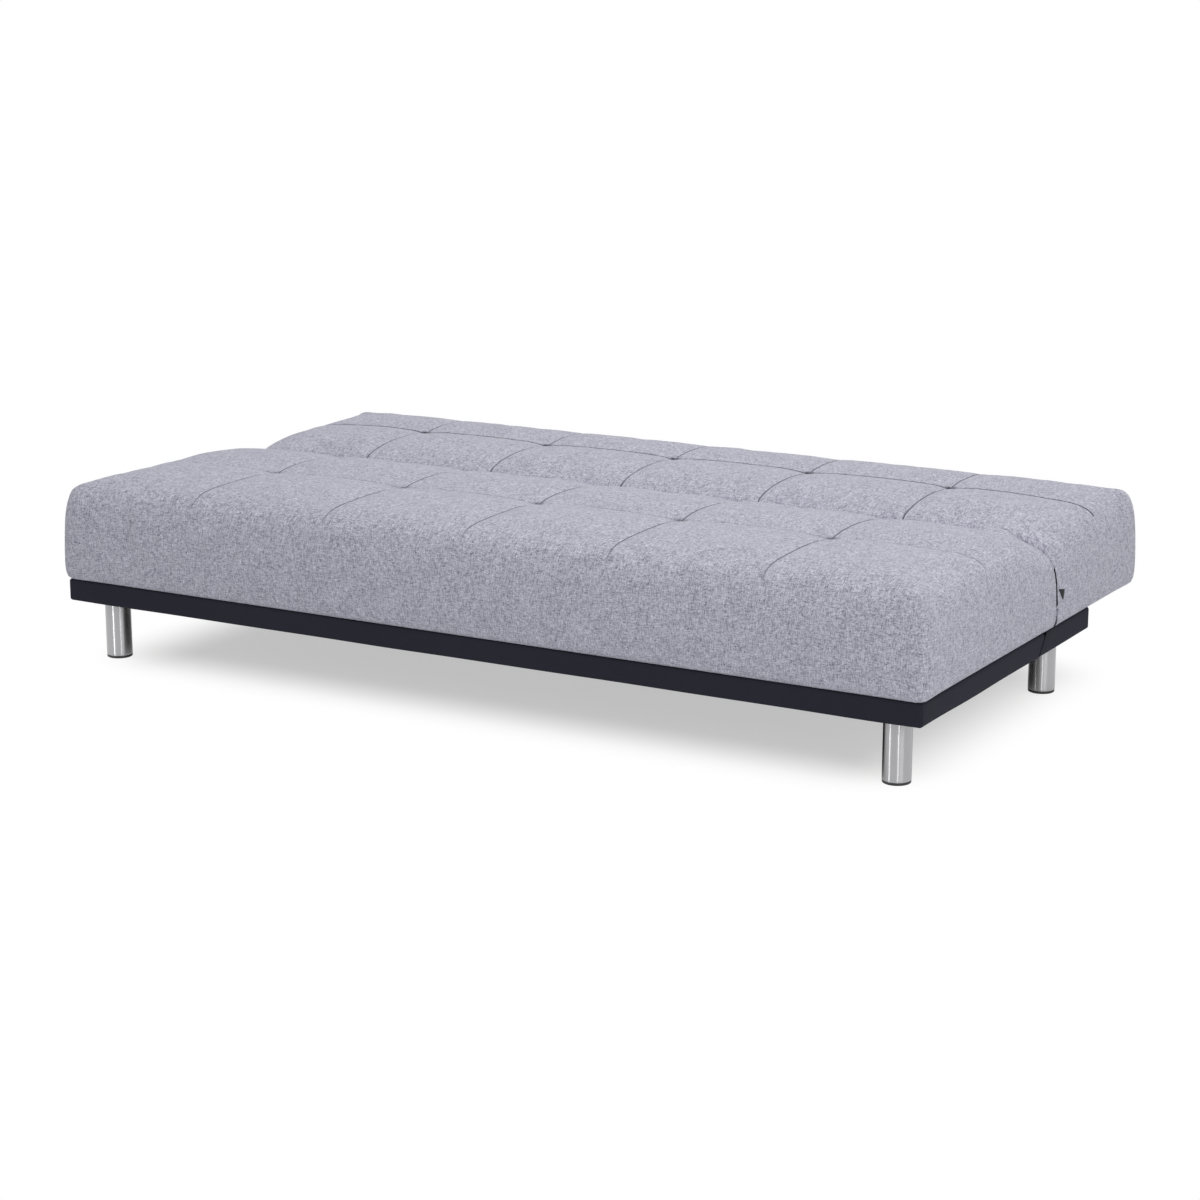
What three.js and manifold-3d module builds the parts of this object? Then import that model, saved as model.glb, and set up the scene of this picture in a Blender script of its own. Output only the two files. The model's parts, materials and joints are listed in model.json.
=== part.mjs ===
// A click-clack sofa bed, laid flat as a bed. A tufted seat cushion is fixed on a timber base that is
// wrapped in a black band and stands on four steel legs. A tufted back cushion lies level behind it and
// swings up on a pair of ratchet hinges, whose arms are bolted inside the two upholstered frames.
// Millimetres, +Z up, +Y towards the back, +X to the right. The origin is on the floor, under the
// middle of the bed.

import * as THREE from "three";
import { mergeVertices } from "three/addons/utils/BufferGeometryUtils.js";
import Module from "manifold-3d";

const wasm = await Module();
wasm.setup();

// Driving dimensions of the whole sofa bed.
const overallLength = 1800; // base, end to end
const bedDepth = 1000; // front of the base to the rear of the back cushion, laid flat
const seatDepth = 579;
const baseDepth = 777;
const legHeight = 117;
const bandHeight = 43;
const seatThickness = 210; // top of the band to the highest point of the crown
const backThickness = 204;
const cushionGap = 2; // between the two cushions, laid flat
const panelCount = 6; // tufted panels along each cushion

// Clearances and small allowances.
const fit = 0.3; // between pieces that touch
const overrun = 10; // how far every cutting body passes the faces it cuts
const weld = 1e-3; // vertices closer than this are one

// Places that follow from the driving dimensions.
const halfLength = overallLength / 2;
const frontFace = -bedDepth / 2;
const rearFace = bedDepth / 2;
const seatRear = frontFace + seatDepth;
const backFront = seatRear + cushionGap;
const baseRear = frontFace + baseDepth;
const baseTop = legHeight + bandHeight;
const cushionBottom = baseTop + fit;
const seatPeak = baseTop + seatThickness;
const backPeak = baseTop + backThickness;

// Finishes.
const fabric = new THREE.MeshStandardMaterial({ color: 0xa9a9b8, roughness: 0.95, metalness: 0 });
const band = new THREE.MeshStandardMaterial({ color: 0x23232d, roughness: 0.7, metalness: 0 });
const lining = new THREE.MeshStandardMaterial({ color: 0x1b1b1d, roughness: 0.95, metalness: 0 });
const foamFill = new THREE.MeshStandardMaterial({ color: 0xe6dcb4, roughness: 0.95, metalness: 0 });
const timber = new THREE.MeshStandardMaterial({ color: 0xc9a46c, roughness: 0.7, metalness: 0 });
const chrome = new THREE.MeshStandardMaterial({ color: 0xc8c9cc, roughness: 0.15, metalness: 1 });
const steel = new THREE.MeshStandardMaterial({ color: 0x6f7276, roughness: 0.45, metalness: 0.9 });
const plastic = new THREE.MeshStandardMaterial({ color: 0x151517, roughness: 0.6, metalness: 0 });

const sofaBed = new THREE.Group();

function add(name, geometry, material) {
  const mesh = new THREE.Mesh(geometry, material);
  mesh.name = name;
  sofaBed.add(mesh);
}

// Geometry to solid and back, for cutting and joining.
function solidOf(geometry) {
  const loose = geometry.index ? geometry.toNonIndexed() : geometry.clone();
  loose.deleteAttribute("normal");
  loose.deleteAttribute("uv");
  const merged = mergeVertices(loose, weld);
  const vertProperties = new Float32Array(merged.attributes.position.array);
  const triVerts = new Uint32Array(merged.index.array);
  return new wasm.Manifold(new wasm.Mesh({ numProp: 3, vertProperties, triVerts }));
}

function geometryOf(solid) {
  const mesh = solid.getMesh();
  const geometry = new THREE.BufferGeometry();
  geometry.setAttribute("position", new THREE.BufferAttribute(mesh.vertProperties, 3));
  geometry.setIndex(new THREE.BufferAttribute(mesh.triVerts, 1));
  geometry.computeVertexNormals();
  return geometry;
}

function cut(geometry, tools) {
  return geometryOf(tools.reduce((left, tool) => left.subtract(solidOf(tool)), solidOf(geometry)));
}

function join(geometries) {
  return geometryOf(geometries.map(solidOf).reduce((whole, piece) => whole.add(piece)));
}

// A rectangular block between low and high values on each axis.
function block([x0, x1], [y0, y1], [z0, z1]) {
  const box = new THREE.BoxGeometry(x1 - x0, y1 - y0, z1 - z0);
  return box.translate((x0 + x1) / 2, (y0 + y1) / 2, (z0 + z1) / 2);
}

function roundHole(x, y, radius) {
  return new THREE.Path().absarc(x, y, radius, 0, 2 * Math.PI, true);
}

// A plan outline, with holes, raised between two heights.
function slab(shape, [z0, z1]) {
  const options = { depth: z1 - z0, bevelEnabled: false, curveSegments: 8 };
  return new THREE.ExtrudeGeometry(shape, options).translate(0, 0, z0);
}

// A plate that stands in the YZ plane: an outline of [y, z] points with round holes, between two X values.
function plate(outline, holes, [x0, x1]) {
  const shape = new THREE.Shape(outline.map(([y, z]) => new THREE.Vector2(y, z)));
  holes.forEach(([y, z, radius]) => shape.holes.push(roundHole(y, z, radius)));
  const options = { depth: x1 - x0, bevelEnabled: false, curveSegments: 8 };
  const standing = new THREE.Matrix4().set(0, 0, 1, x0, 1, 0, 0, 0, 0, 1, 0, 0, 0, 0, 0, 1);
  return new THREE.ExtrudeGeometry(shape, options).applyMatrix4(standing);
}

// A turned piece on a vertical axis, from a profile of [radius, z] points.
function turnedUpright(profile, x, y, sides) {
  const points = profile.map(([radius, z]) => new THREE.Vector2(radius, z));
  return new THREE.LatheGeometry(points, sides).rotateX(Math.PI / 2).translate(x, y, 0);
}

// A turned piece on an axis along X, from a profile of [radius, x] points for the right-hand side.
function turnedAcross(profile, side, y, z, sides) {
  const points = profile.map(([radius, x]) => new THREE.Vector2(radius, side * x));
  const ordered = side > 0 ? points : points.reverse();
  return new THREE.LatheGeometry(ordered, sides).rotateZ(-Math.PI / 2).translate(0, y, z);
}

// The same span on the right-hand or the left-hand side.
function onSide(side, [x0, x1]) {
  return side > 0 ? [x0, x1] : [-x1, -x0];
}

function inset([low, high], amount) {
  return [low + amount, high - amount];
}

const sides = [
  ["left", -1],
  ["right", 1],
];

// The black band round the base: two wraps of coated cloth that meet at a slanted joint on each end.
const bandSkin = 2;
const bandLip = 22; // turned in over and under the rails
const bandCorner = 12;
const jointFromFront = 520; // foot of the slanted joint
const jointLean = 35;
const jointGap = 1.5;

function basePlan(shrink) {
  const [left, right] = inset([-halfLength, halfLength], shrink);
  const [front, rear] = inset([frontFace, baseRear], shrink);
  const radius = Math.max(bandCorner - shrink, 0);
  const shape = new THREE.Shape();
  const quarter = Math.PI / 2;
  if (radius === 0) {
    shape.moveTo(left, front).lineTo(right, front).lineTo(right, rear).lineTo(left, rear);
    return shape;
  }
  shape.moveTo(left + radius, front);
  shape.lineTo(right - radius, front);
  shape.absarc(right - radius, front + radius, radius, -quarter, 0, false);
  shape.absarc(right - radius, rear - radius, radius, 0, quarter, false);
  shape.absarc(left + radius, rear - radius, radius, quarter, 2 * quarter, false);
  shape.absarc(left + radius, front + radius, radius, 2 * quarter, 3 * quarter, false);
  return shape;
}

function bandRing() {
  const height = [legHeight, baseTop];
  const through = inset(height, -overrun);
  const wall = cut(slab(basePlan(0), height), [slab(basePlan(bandSkin), through)]);
  const opening = slab(basePlan(bandLip), through);
  const underLip = cut(slab(basePlan(0), [legHeight, legHeight + bandSkin]), [opening]);
  const overLip = cut(slab(basePlan(0), [baseTop - bandSkin, baseTop]), [opening]);
  return join([wall, underLip, overLip]);
}

// Where the slanted joint is at a height, moved back by an amount.
function jointAt(z, shift) {
  const share = (z - legHeight) / bandHeight;
  return frontFace + jointFromFront + share * jointLean + shift;
}

function bandPart(farEnd, shift) {
  const [low, high] = inset([legHeight, baseTop], -overrun);
  const outline = [
    [farEnd, low],
    [farEnd, high],
    [jointAt(high, shift), high],
    [jointAt(low, shift), low],
  ];
  const facing = farEnd < 0 ? outline.reverse() : outline;
  const keep = plate(facing, [], inset([-halfLength, halfLength], -overrun));
  return geometryOf(solidOf(bandRing()).intersect(solidOf(keep)));
}

add("base_cover_front", bandPart(frontFace - overrun, -jointGap / 2), band);
add("base_cover_rear", bandPart(baseRear + overrun, jointGap / 2), band);

// The timber frame inside the band.
const baseRail = 35;
const cornerBlock = 82;
const railOuterX = halfLength - bandSkin - fit;
const railInnerX = railOuterX - baseRail;
const railFront = frontFace + bandSkin + fit;
const railRear = baseRear - bandSkin - fit;
const railHeight = inset([legHeight, baseTop], bandSkin + fit);
const betweenRails = inset([railFront, railRear], baseRail + fit);

// A long rail whose two outer corners are rounded to lie in the band's corners.
function longRail(outerY, innerY) {
  const towards = Math.sign(innerY - outerY);
  const radius = bandCorner - bandSkin - fit;
  const corner = outerY + towards * radius;
  const quarter = Math.PI / 2;
  const shape = new THREE.Shape();
  shape.moveTo(-railOuterX, innerY);
  shape.absarc(-railOuterX + radius, corner, radius, 2 * quarter, (2 + towards) * quarter, towards < 0);
  shape.absarc(railOuterX - radius, corner, radius, -towards * quarter, 0, towards < 0);
  shape.lineTo(railOuterX, innerY);
  return slab(shape, railHeight);
}

add("base_front_rail", longRail(railFront, railFront + baseRail), timber);
add("base_rear_rail", longRail(railRear, railRear - baseRail), timber);
for (const [label, side] of sides) {
  add(`base_side_rail_${label}`, block(onSide(side, [railInnerX, railOuterX]), betweenRails, railHeight), timber);
}
add("base_centre_rail", block([-baseRail / 2, baseRail / 2], betweenRails, railHeight), timber);

// Four legs: a chromed tube, a plate with a stud welded into its top, and a glide pressed into its foot.
const legDiameter = 50;
const legWall = 1.5;
const legFromEnd = 69;
const legFromFront = 62;
const legFromRear = 55;
const glideFoot = 5;
const glidePlug = 15;
const glideRound = 1.5;
const studPlate = 6;
const studDiameter = 10;
const studSides = 12;
const tubeSides = 28;

const legX = halfLength - legFromEnd;
const legRadius = legDiameter / 2;
const legBore = legRadius - legWall;
const tubeHeight = [glideFoot + fit, legHeight - fit];
const blockInnerX = railInnerX - fit - cornerBlock;
const studTop = railHeight[1] - fit;
const blockHeight = [legHeight + fit, railHeight[1]];

function legTube(x, y) {
  const [foot, head] = tubeHeight;
  const profile = [
    [legBore, foot],
    [legRadius, foot],
    [legRadius, head],
    [legBore, head],
    [legBore, foot],
  ];
  return turnedUpright(profile, x, y, tubeSides);
}

function legGlide(x, y) {
  const plug = legBore - fit;
  const profile = [
    [0, 0],
    [legRadius - glideRound, 0],
    [legRadius, glideRound],
    [legRadius, glideFoot],
    [plug, glideFoot],
    [plug, glideFoot + glidePlug],
    [0, glideFoot + glidePlug],
  ];
  return turnedUpright(profile, x, y, tubeSides);
}

function legStud(x, y) {
  const [, head] = tubeHeight;
  const disc = legBore - fit;
  const profile = [
    [0, head - studPlate],
    [disc, head - studPlate],
    [disc, head],
    [studDiameter / 2, head],
    [studDiameter / 2, studTop],
    [0, studTop],
  ];
  return turnedUpright(profile, x, y, studSides);
}

function legBlock(side, x, y, spanY) {
  const [left, right] = onSide(side, [blockInnerX, railInnerX - fit]);
  const [front, rear] = spanY;
  const shape = new THREE.Shape();
  shape.moveTo(left, front).lineTo(right, front).lineTo(right, rear).lineTo(left, rear);
  shape.holes.push(roundHole(x, y, studDiameter / 2 + fit));
  return slab(shape, blockHeight);
}

const blockRuns = [
  ["front", frontFace + legFromFront, [betweenRails[0], betweenRails[0] + cornerBlock]],
  ["rear", baseRear - legFromRear, [betweenRails[1] - cornerBlock, betweenRails[1]]],
];
for (const [place, y, spanY] of blockRuns) {
  for (const [label, side] of sides) {
    const x = side * legX;
    add(`leg_tube_${place}_${label}`, legTube(x, y), chrome);
    add(`leg_glide_${place}_${label}`, legGlide(x, y), plastic);
    add(`leg_stud_${place}_${label}`, legStud(x, y), steel);
    add(`corner_block_${place}_${label}`, legBlock(side, x, y, spanY), timber);
  }
}

// A thin lining closes the base from below and is cut out round the corner blocks.
const liningThickness = 1.2;

function baseLining() {
  const x1 = halfLength - bandLip - fit;
  const x0 = blockInnerX - fit;
  const [front, rear] = inset([frontFace, baseRear], bandLip + fit);
  const [frontStep, rearStep] = inset(betweenRails, cornerBlock + fit);
  const right = [
    [x0, front],
    [x0, frontStep],
    [x1, frontStep],
    [x1, rearStep],
    [x0, rearStep],
    [x0, rear],
  ];
  const left = right.map(([x, y]) => [-x, y]).reverse();
  const shape = new THREE.Shape([...right, ...left].map(([x, y]) => new THREE.Vector2(x, y)));
  const top = railHeight[0] - fit;
  return slab(shape, [top - liningThickness, top]);
}

add("base_lining", baseLining(), lining);

// The two upholstered frames: four rails each, inside the padded cover.
const coverWall = 14; // cloth and wadding outside the frame
const coverLip = 20; // cloth turned in under the frame
const coverLipThickness = 2;
const frameThickness = 22;
const frameHeight = 60;
const armPitch = 5; // between the planes of the two hinge arms
const bearerInset = 60; // hinge bearers in from the ends of the frame
const spacerLength = 30; // blocks between each bearer and its end rail

const frameBottom = cushionBottom + coverLipThickness + fit;
const frameTop = frameBottom + frameHeight;
const frameSpanZ = [frameBottom, frameTop];
const seatHollowX = halfLength - coverWall;
const backHollowX = seatHollowX - armPitch;
const seatHollowY = inset([frontFace, seatRear], coverWall);
const backHollowY = inset([backFront, rearFace], coverWall);

// The ratchet hinges. Each has an arm bolted to a bearer of the seat frame and one of the back frame, which
// turn on one pin in the valley between the cushions. The back arm carries a toothed quadrant, and a
// sprung pawl on the seat arm drops behind its teeth.
const pivotDrop = 48; // hinge axis below the top of the seat's crown
const armThickness = 4;
const armReach = 190; // pivot to the far end of the arm
const armBar = 34; // height of the bar that is bolted to the frame
const armRiser = 34; // width of the rising part
const eyeRadius = 11;
const eyeArc = [210, 30]; // degrees round the pivot where the eye starts and ends
const pinRadius = 4.5;
const pinHeadRadius = 8;
const pinHead = 3;
const pawlPinRadius = 4;
const boltRadius = 4;
const boltHeadRadius = 7;
const boltHead = 4;
const boltPitch = 70;
const boltFromEnd = 30;
const barDrop = 12; // top of the bar below the top of the frame
const riserClearance = 4; // between the rising part and the frame rail it passes over
const turnedSides = 12;

const pivotY = seatRear + cushionGap / 2;
const pivotZ = seatPeak - pivotDrop;
const seatBearerX = [seatHollowX - fit - bearerInset - frameThickness, seatHollowX - fit - bearerInset];
const backBearerX = [seatBearerX[0] - armPitch, seatBearerX[1] - armPitch];
const seatArmX = [seatBearerX[0] - fit - armThickness, seatBearerX[0] - fit];
const backArmX = [backBearerX[0] - fit - armThickness, backBearerX[0] - fit];
const barTop = frameTop - barDrop;
const boltZ = barTop - armBar / 2;
const boltsY = [armReach - boltFromEnd, armReach - boltFromEnd - boltPitch];

// The quadrant: its teeth have a slope that lifts the pawl as the back rises, and a steep face that holds.
const rimRadius = 60;
const toothDepth = 10;
const pawlStandOff = 22; // pawl pin beyond the rim
const pawlPinAngle = -118;
const pawlNoseAngle = -100;
const pawlNoseGap = 1.5; // nose to rim while the pawl is held off
const pawlEyeRadius = 9;
const pawlNoseWidth = 7;
const rootRadius = rimRadius - toothDepth;
const pawlPinDistance = rimRadius + pawlStandOff;

// Around the quadrant, in degrees from +Y, and 0 at the root or 1 at the rim.
const quadrantOutline = [
  [-100, 0],
  [-113, 0],
  [-120, 1],
  [-137, 1],
  [-137.5, 0],
  [-147, 0],
  [-154, 1],
  [-173, 1],
  [-173.5, 0],
  [-176, 0],
];
const fullTurn = 360; // degrees
const outlineStep = 6; // degrees between points along an arc

function polar(radius, degrees) {
  const angle = (degrees * Math.PI) / 180;
  return [radius * Math.cos(angle), radius * Math.sin(angle)];
}

function fromPivot([y, z]) {
  return [pivotY + y, pivotZ + z];
}

function arcPoints(radius, from, to) {
  const count = Math.max(1, Math.round(Math.abs(to - from) / outlineStep));
  const at = (i) => polar(radius, from + ((to - from) * i) / count);
  return Array.from({ length: count + 1 }, (_, i) => at(i));
}

function quadrantPoints() {
  const points = [[0, 0]];
  quadrantOutline.slice(1).forEach(([angle, height], i) => {
    const [before, heightBefore] = quadrantOutline[i];
    const radius = rootRadius + toothDepth * height;
    const radiusBefore = rootRadius + toothDepth * heightBefore;
    const run = height === heightBefore ? arcPoints(radius, before, angle) : [polar(radiusBefore, before)];
    points.push(...run);
  });
  const [last] = quadrantOutline[quadrantOutline.length - 1];
  return [...points, polar(rootRadius, last)];
}

// An arm, drawn for the back: an eye on the pivot, a riser over the frame's hinge rail, then a bar.
function armOutline() {
  const top = barTop - pivotZ;
  const bottom = top - armBar;
  const overRail = frameTop + riserClearance - pivotZ;
  const railEnd = cushionGap / 2 + coverWall + fit + frameThickness + riserClearance;
  const bend = railEnd + armBar / 2;
  return [
    ...arcPoints(eyeRadius, ...eyeArc),
    [railEnd + armRiser, overRail + armBar / 4],
    [bend + armRiser + armBar / 2, top],
    [armReach, top],
    [armReach, bottom],
    [bend, bottom],
    [railEnd, overRail],
  ];
}

// The outline facing the back (+1) or the front (-1), at the pivot.
function armFacing(way) {
  const points = armOutline().map(([y, z]) => fromPivot([way * y, z]));
  return way > 0 ? points.reverse() : points;
}

function boltPlaces(way) {
  return boltsY.map((y) => [pivotY + way * y, boltZ]);
}

const pivotPlace = [pivotY, pivotZ];
const pawlPinPlace = fromPivot(polar(pawlPinDistance, pawlPinAngle));

function seatArm(side) {
  const holes = [
    [...pivotPlace, pinRadius + fit],
    [...pawlPinPlace, pawlPinRadius + fit],
    ...boltPlaces(-1).map((place) => [...place, boltRadius + fit]),
  ];
  return plate(armFacing(-1), holes, onSide(side, seatArmX));
}

function backArm(side) {
  const holes = boltPlaces(1).map((place) => [...place, boltRadius + fit]);
  const span = onSide(side, backArmX);
  const arm = plate(armFacing(1), holes, span);
  const quadrant = plate(quadrantPoints().map(fromPivot).reverse(), [], span);
  const through = onSide(side, inset(backArmX, -overrun));
  const [low, high] = side > 0 ? through : inset(through, 0).map((x) => -x).reverse();
  const bore = [
    [0, low],
    [pinRadius + fit, low],
    [pinRadius + fit, high],
    [0, high],
  ];
  return cut(join([arm, quadrant]), [turnedAcross(bore, side, ...pivotPlace, turnedSides)]);
}

// A pin with a head at each end, along X, between two X values that include the heads.
function headedPin(side, place, shank, head, [x0, x1]) {
  const profile = [
    [0, x0],
    [head, x0],
    [head, x0 + pinHead],
    [shank, x0 + pinHead],
    [shank, x1 - pinHead],
    [head, x1 - pinHead],
    [head, x1],
    [0, x1],
  ];
  return turnedAcross(profile, side, ...place, turnedSides);
}

function bolt(side, place, headFace, length) {
  const profile = [
    [0, headFace - boltHead],
    [boltHeadRadius, headFace - boltHead],
    [boltHeadRadius, headFace],
    [boltRadius, headFace],
    [boltRadius, headFace + length],
    [0, headFace + length],
  ];
  return turnedAcross(profile, side, ...place, turnedSides);
}

// The pawl: an eye on its pin and a nose that points at the quadrant, held clear of the teeth.
function pawl(side) {
  const nose = fromPivot(polar(rimRadius + pawlNoseGap, pawlNoseAngle));
  const [eyeY, eyeZ] = pawlPinPlace;
  const heading = (Math.atan2(nose[1] - eyeZ, nose[0] - eyeY) * 180) / Math.PI;
  const across = polar(pawlNoseWidth / 2, heading + 90);
  const along = polar(pawlNoseWidth / 2, heading);
  const back = ([y, z], sign) => [y - along[0] + sign * across[0], z - along[1] + sign * across[1]];
  const eye = arcPoints(pawlEyeRadius, heading + 70, heading + 290).map(([y, z]) => [eyeY + y, eyeZ + z]);
  const outline = [...eye, back(nose, -1), nose, back(nose, 1)];
  return plate(outline, [[eyeY, eyeZ, pawlPinRadius + fit]], onSide(side, backArmX));
}

// The pawl's torsion spring: turns round the pawl pin, with one leg on the arm's edge and one under the nose.
const springWire = 1.6;
const springPitch = 2.3;
const springTurns = 2.5;
const springLeg = 17;
const springSteps = 34;
const stepsPerTurn = 8;
const springGap = 1; // coil to the pawl's face
const springCoil = pawlPinRadius + springWire / 2 + fit;
const springSpanX = springTurns * springPitch + 2 * springWire;
const springFace = backArmX[0] - springGap;

function tubeAlong(points, wire, sectionSides, steps) {
  const section = new THREE.Shape(
    Array.from({ length: sectionSides }, (_, i) => {
      const [x, y] = polar(wire / 2, (360 * i) / sectionSides);
      return new THREE.Vector2(x, y);
    }),
  );
  const path = new THREE.CatmullRomCurve3(points, false, "centripetal");
  return new THREE.ExtrudeGeometry(section, { steps, extrudePath: path, bevelEnabled: false });
}

function pawlSpring(side) {
  const [centreY, centreZ] = pawlPinPlace;
  const last = springTurns * stepsPerTurn;
  const start = 200;
  const outermost = springFace - springWire / 2;
  const onCoil = (i, radius) => {
    const [y, z] = polar(radius, start + (360 * i) / stepsPerTurn);
    const x = outermost - springPitch * springTurns + (springPitch * i) / stepsPerTurn;
    return new THREE.Vector3(side * x, centreY + y, centreZ + z);
  };
  const coil = Array.from({ length: last + 1 }, (_, i) => onCoil(i, springCoil));
  const tangent = (i, way) => {
    const [y, z] = polar(way * springLeg, start + (360 * i) / stepsPerTurn + 90);
    return onCoil(i, springCoil).add(new THREE.Vector3(0, y, z));
  };
  return tubeAlong([tangent(0, -1), ...coil, tangent(last, 1)], springWire, 5, springSteps);
}

const pivotPinX = [backArmX[0] - fit - pinHead, seatArmX[1] + fit + pinHead];
const pawlPinX = [springFace - springSpanX - pinHead, seatArmX[1] + fit + pinHead];
const boltLength = armThickness + frameThickness;

for (const [label, side] of sides) {
  add(`seat_hinge_arm_${label}`, seatArm(side), steel);
  add(`back_hinge_arm_${label}`, backArm(side), steel);
  add(`hinge_pin_${label}`, headedPin(side, pivotPlace, pinRadius, pinHeadRadius, pivotPinX), steel);
  add(`pawl_${label}`, pawl(side), steel);
  add(`pawl_pin_${label}`, headedPin(side, pawlPinPlace, pawlPinRadius, pawlEyeRadius, pawlPinX), steel);
  add(`pawl_spring_${label}`, pawlSpring(side), steel);
  ["far", "near"].forEach((name, i) => {
    const seatPlace = boltPlaces(-1)[i];
    const backPlace = boltPlaces(1)[i];
    add(`seat_bolt_${name}_${label}`, bolt(side, seatPlace, seatArmX[0] - fit, boltLength), steel);
    add(`back_bolt_${name}_${label}`, bolt(side, backPlace, backArmX[0] - fit, boltLength), steel);
  });
}

// Pockets for the hinges in the padding: everything that turns stays inside them.
const pocketGap = 1;
const pocketAbove = 1; // over the hinge axis
const pocketDepth = pawlPinDistance + pawlEyeRadius + pocketGap;
const pocketX = [pawlPinX[0] - pocketGap, pawlPinX[1] + pocketGap];
const pocketEyeRadius = eyeRadius + 2 * pocketGap;

// The pocket that reaches towards the front (-1) or the back (+1) from the valley.
function hingePockets(way) {
  const floor = Math.min(-pocketDepth, frameTop - pivotZ);
  const low = -way * pocketEyeRadius;
  const corners = [
    [low, floor],
    [way * pocketDepth, floor],
    [way * pocketDepth, pocketAbove],
    [low, pocketAbove],
  ].map(fromPivot);
  const outline = way > 0 ? corners : corners.reverse();
  const round = arcPoints(pocketEyeRadius, 0, fullTurn - 4 * outlineStep).map(fromPivot);
  return sides.flatMap(([, side]) => [
    plate(outline, [], onSide(side, pocketX)),
    plate(round, [], onSide(side, pocketX)),
  ]);
}

// A frame of two long rails and two side rails. A side rail is an end rail and an inner bearer, drilled for
// the hinge bolts, glued up with a spacer block at each end.
function upholsteryFrame(prefix, names, hollowX, hollowY, bearerX, way) {
  const outerX = hollowX - fit;
  const innerX = outerX - frameThickness;
  const [front, rear] = inset(hollowY, fit);
  const longX = [-outerX, outerX];
  add(`${prefix}_${names[0]}`, block(longX, [front, front + frameThickness], frameSpanZ), timber);
  add(`${prefix}_${names[1]}`, block(longX, [rear - frameThickness, rear], frameSpanZ), timber);
  const [y0, y1] = inset([front, rear], frameThickness + fit);
  const outline = [
    [y0, frameBottom],
    [y1, frameBottom],
    [y1, frameTop],
    [y0, frameTop],
  ];
  const holes = boltPlaces(way).map((place) => [...place, boltRadius + fit]);
  for (const [label, side] of sides) {
    const endRail = block(onSide(side, [innerX, outerX]), [y0, y1], frameSpanZ);
    const bearer = plate(outline, holes, onSide(side, bearerX));
    const spacerX = onSide(side, [bearerX[1] - fit, innerX + fit]);
    const spacers = [
      [y0, y0 + spacerLength],
      [y1 - spacerLength, y1],
    ].map((spanY) => block(spacerX, spanY, frameSpanZ));
    add(`${prefix}_side_rail_${label}`, join([endRail, bearer, ...spacers]), timber);
  }
}

upholsteryFrame("seat", ["front_rail", "hinge_rail"], seatHollowX, seatHollowY, seatBearerX, -1);
upholsteryFrame("back", ["hinge_rail", "top_rail"], backHollowX, backHollowY, backBearerX, 1);

// Zigzag springs run from rail to rail under each row of tufts, held by a steel strip on each rail.
const zigzagWire = 3.6;
const zigzagWidth = 46;
const zigzagPitch = 40; // from one bend to the next
const stripThickness = 2;
const stripWidth = 16;
const stripPast = 30; // strip beyond the outermost spring
const bendSteps = 3;

const stripTop = frameTop + fit + stripThickness;
const zigzagZ = stripTop + zigzagWire / 4;
const panelLength = overallLength / panelCount;
const tuftColumns = Array.from({ length: panelCount - 1 }, (_, i) => (i + 1) * panelLength - halfLength);

function zigzag(x, [y0, y1]) {
  const bends = Math.round((y1 - y0) / zigzagPitch);
  const pitch = (y1 - y0) / bends;
  const points = [new THREE.Vector3(x, y0, zigzagZ)];
  for (let i = 0; i < bends; i += 1) {
    const reach = ((i % 2 === 0 ? 1 : -1) * zigzagWidth) / 2;
    points.push(new THREE.Vector3(x + reach, y0 + (i + 0.5) * pitch, zigzagZ));
  }
  points.push(new THREE.Vector3(x, y1, zigzagZ));
  return tubeAlong(points, zigzagWire, 4, bends * bendSteps);
}

function springDeck(hollowY) {
  const [front, rear] = inset(hollowY, fit + frameThickness / 2);
  const reach = halfLength - panelLength + stripPast;
  const strips = [front, rear].map((y) =>
    block([-reach, reach], [y - stripWidth / 2, y + stripWidth / 2], [frameTop + fit, stripTop]),
  );
  return join([...strips, ...tuftColumns.map((x) => zigzag(x, [front, rear]))]);
}

add("seat_springs", springDeck(seatHollowY), steel);
add("back_springs", springDeck(backHollowY), steel);

// The padded covers: a crowned, tufted top over sides that draw in at the bottom.
const seamInset = 10; // top seam in from the face
const crossDip = 5; // seams that run front to back
const crossReach = 35;
const longDip = 9; // the seam that runs end to end
const longReach = 40;
const tuftDip = 8; // where the seams cross
const tuftReach = 45;
const underTuft = 20; // wadding left below the deepest tuft
const faceBulge = 5;
const cornerRound = 35;
const topDip = crossDip + longDip + tuftDip;

// At each edge: how far the top falls towards it, from how far in, and the radius it is rounded off with.
const openEdge = { fall: 33, reach: 40, round: 0, bulge: faceBulge, tuck: 6 };
const seatHingeEdge = { fall: 24, reach: 85, round: 44, bulge: 0, tuck: 6 };
const backHingeEdge = { fall: 16, reach: 65, round: 44, bulge: 0, tuck: 6 };
const backTopEdge = { fall: 33, reach: 40, round: 0, bulge: faceBulge, tuck: 26 };

// Shares of a panel, and of a half depth from face to tuft row, at which the top has points.
const innerPanelShares = [0, 0.1, 0.3, 0.7, 0.9];
const endPanelShares = [0, 0.04, 0.13, 0.32, 0.7, 0.9];
const halfDepthShares = [0, 0.02, 0.06, 0.16, 0.36, 0.66, 0.88];

// Down the side, as shares of its height: how much of the bulge and of the tuck applies there.
const sideShares = [
  { down: 0.1, bulge: 0.6, tuck: 0 },
  { down: 0.4, bulge: 1, tuck: 0 },
  { down: 0.8, bulge: 0.95, tuck: 0 },
  { down: 0.95, bulge: 0.65, tuck: 0.3 },
  { down: 1, bulge: 0, tuck: 1 },
];

function stationsX() {
  const end = endPanelShares.map((share) => -halfLength + share * panelLength);
  const inner = tuftColumns.slice(0, -1).flatMap((x) => innerPanelShares.map((s) => x + s * panelLength));
  const other = end.map((x) => -x).reverse();
  return [...end, ...inner, tuftColumns[tuftColumns.length - 1], ...other];
}

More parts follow.
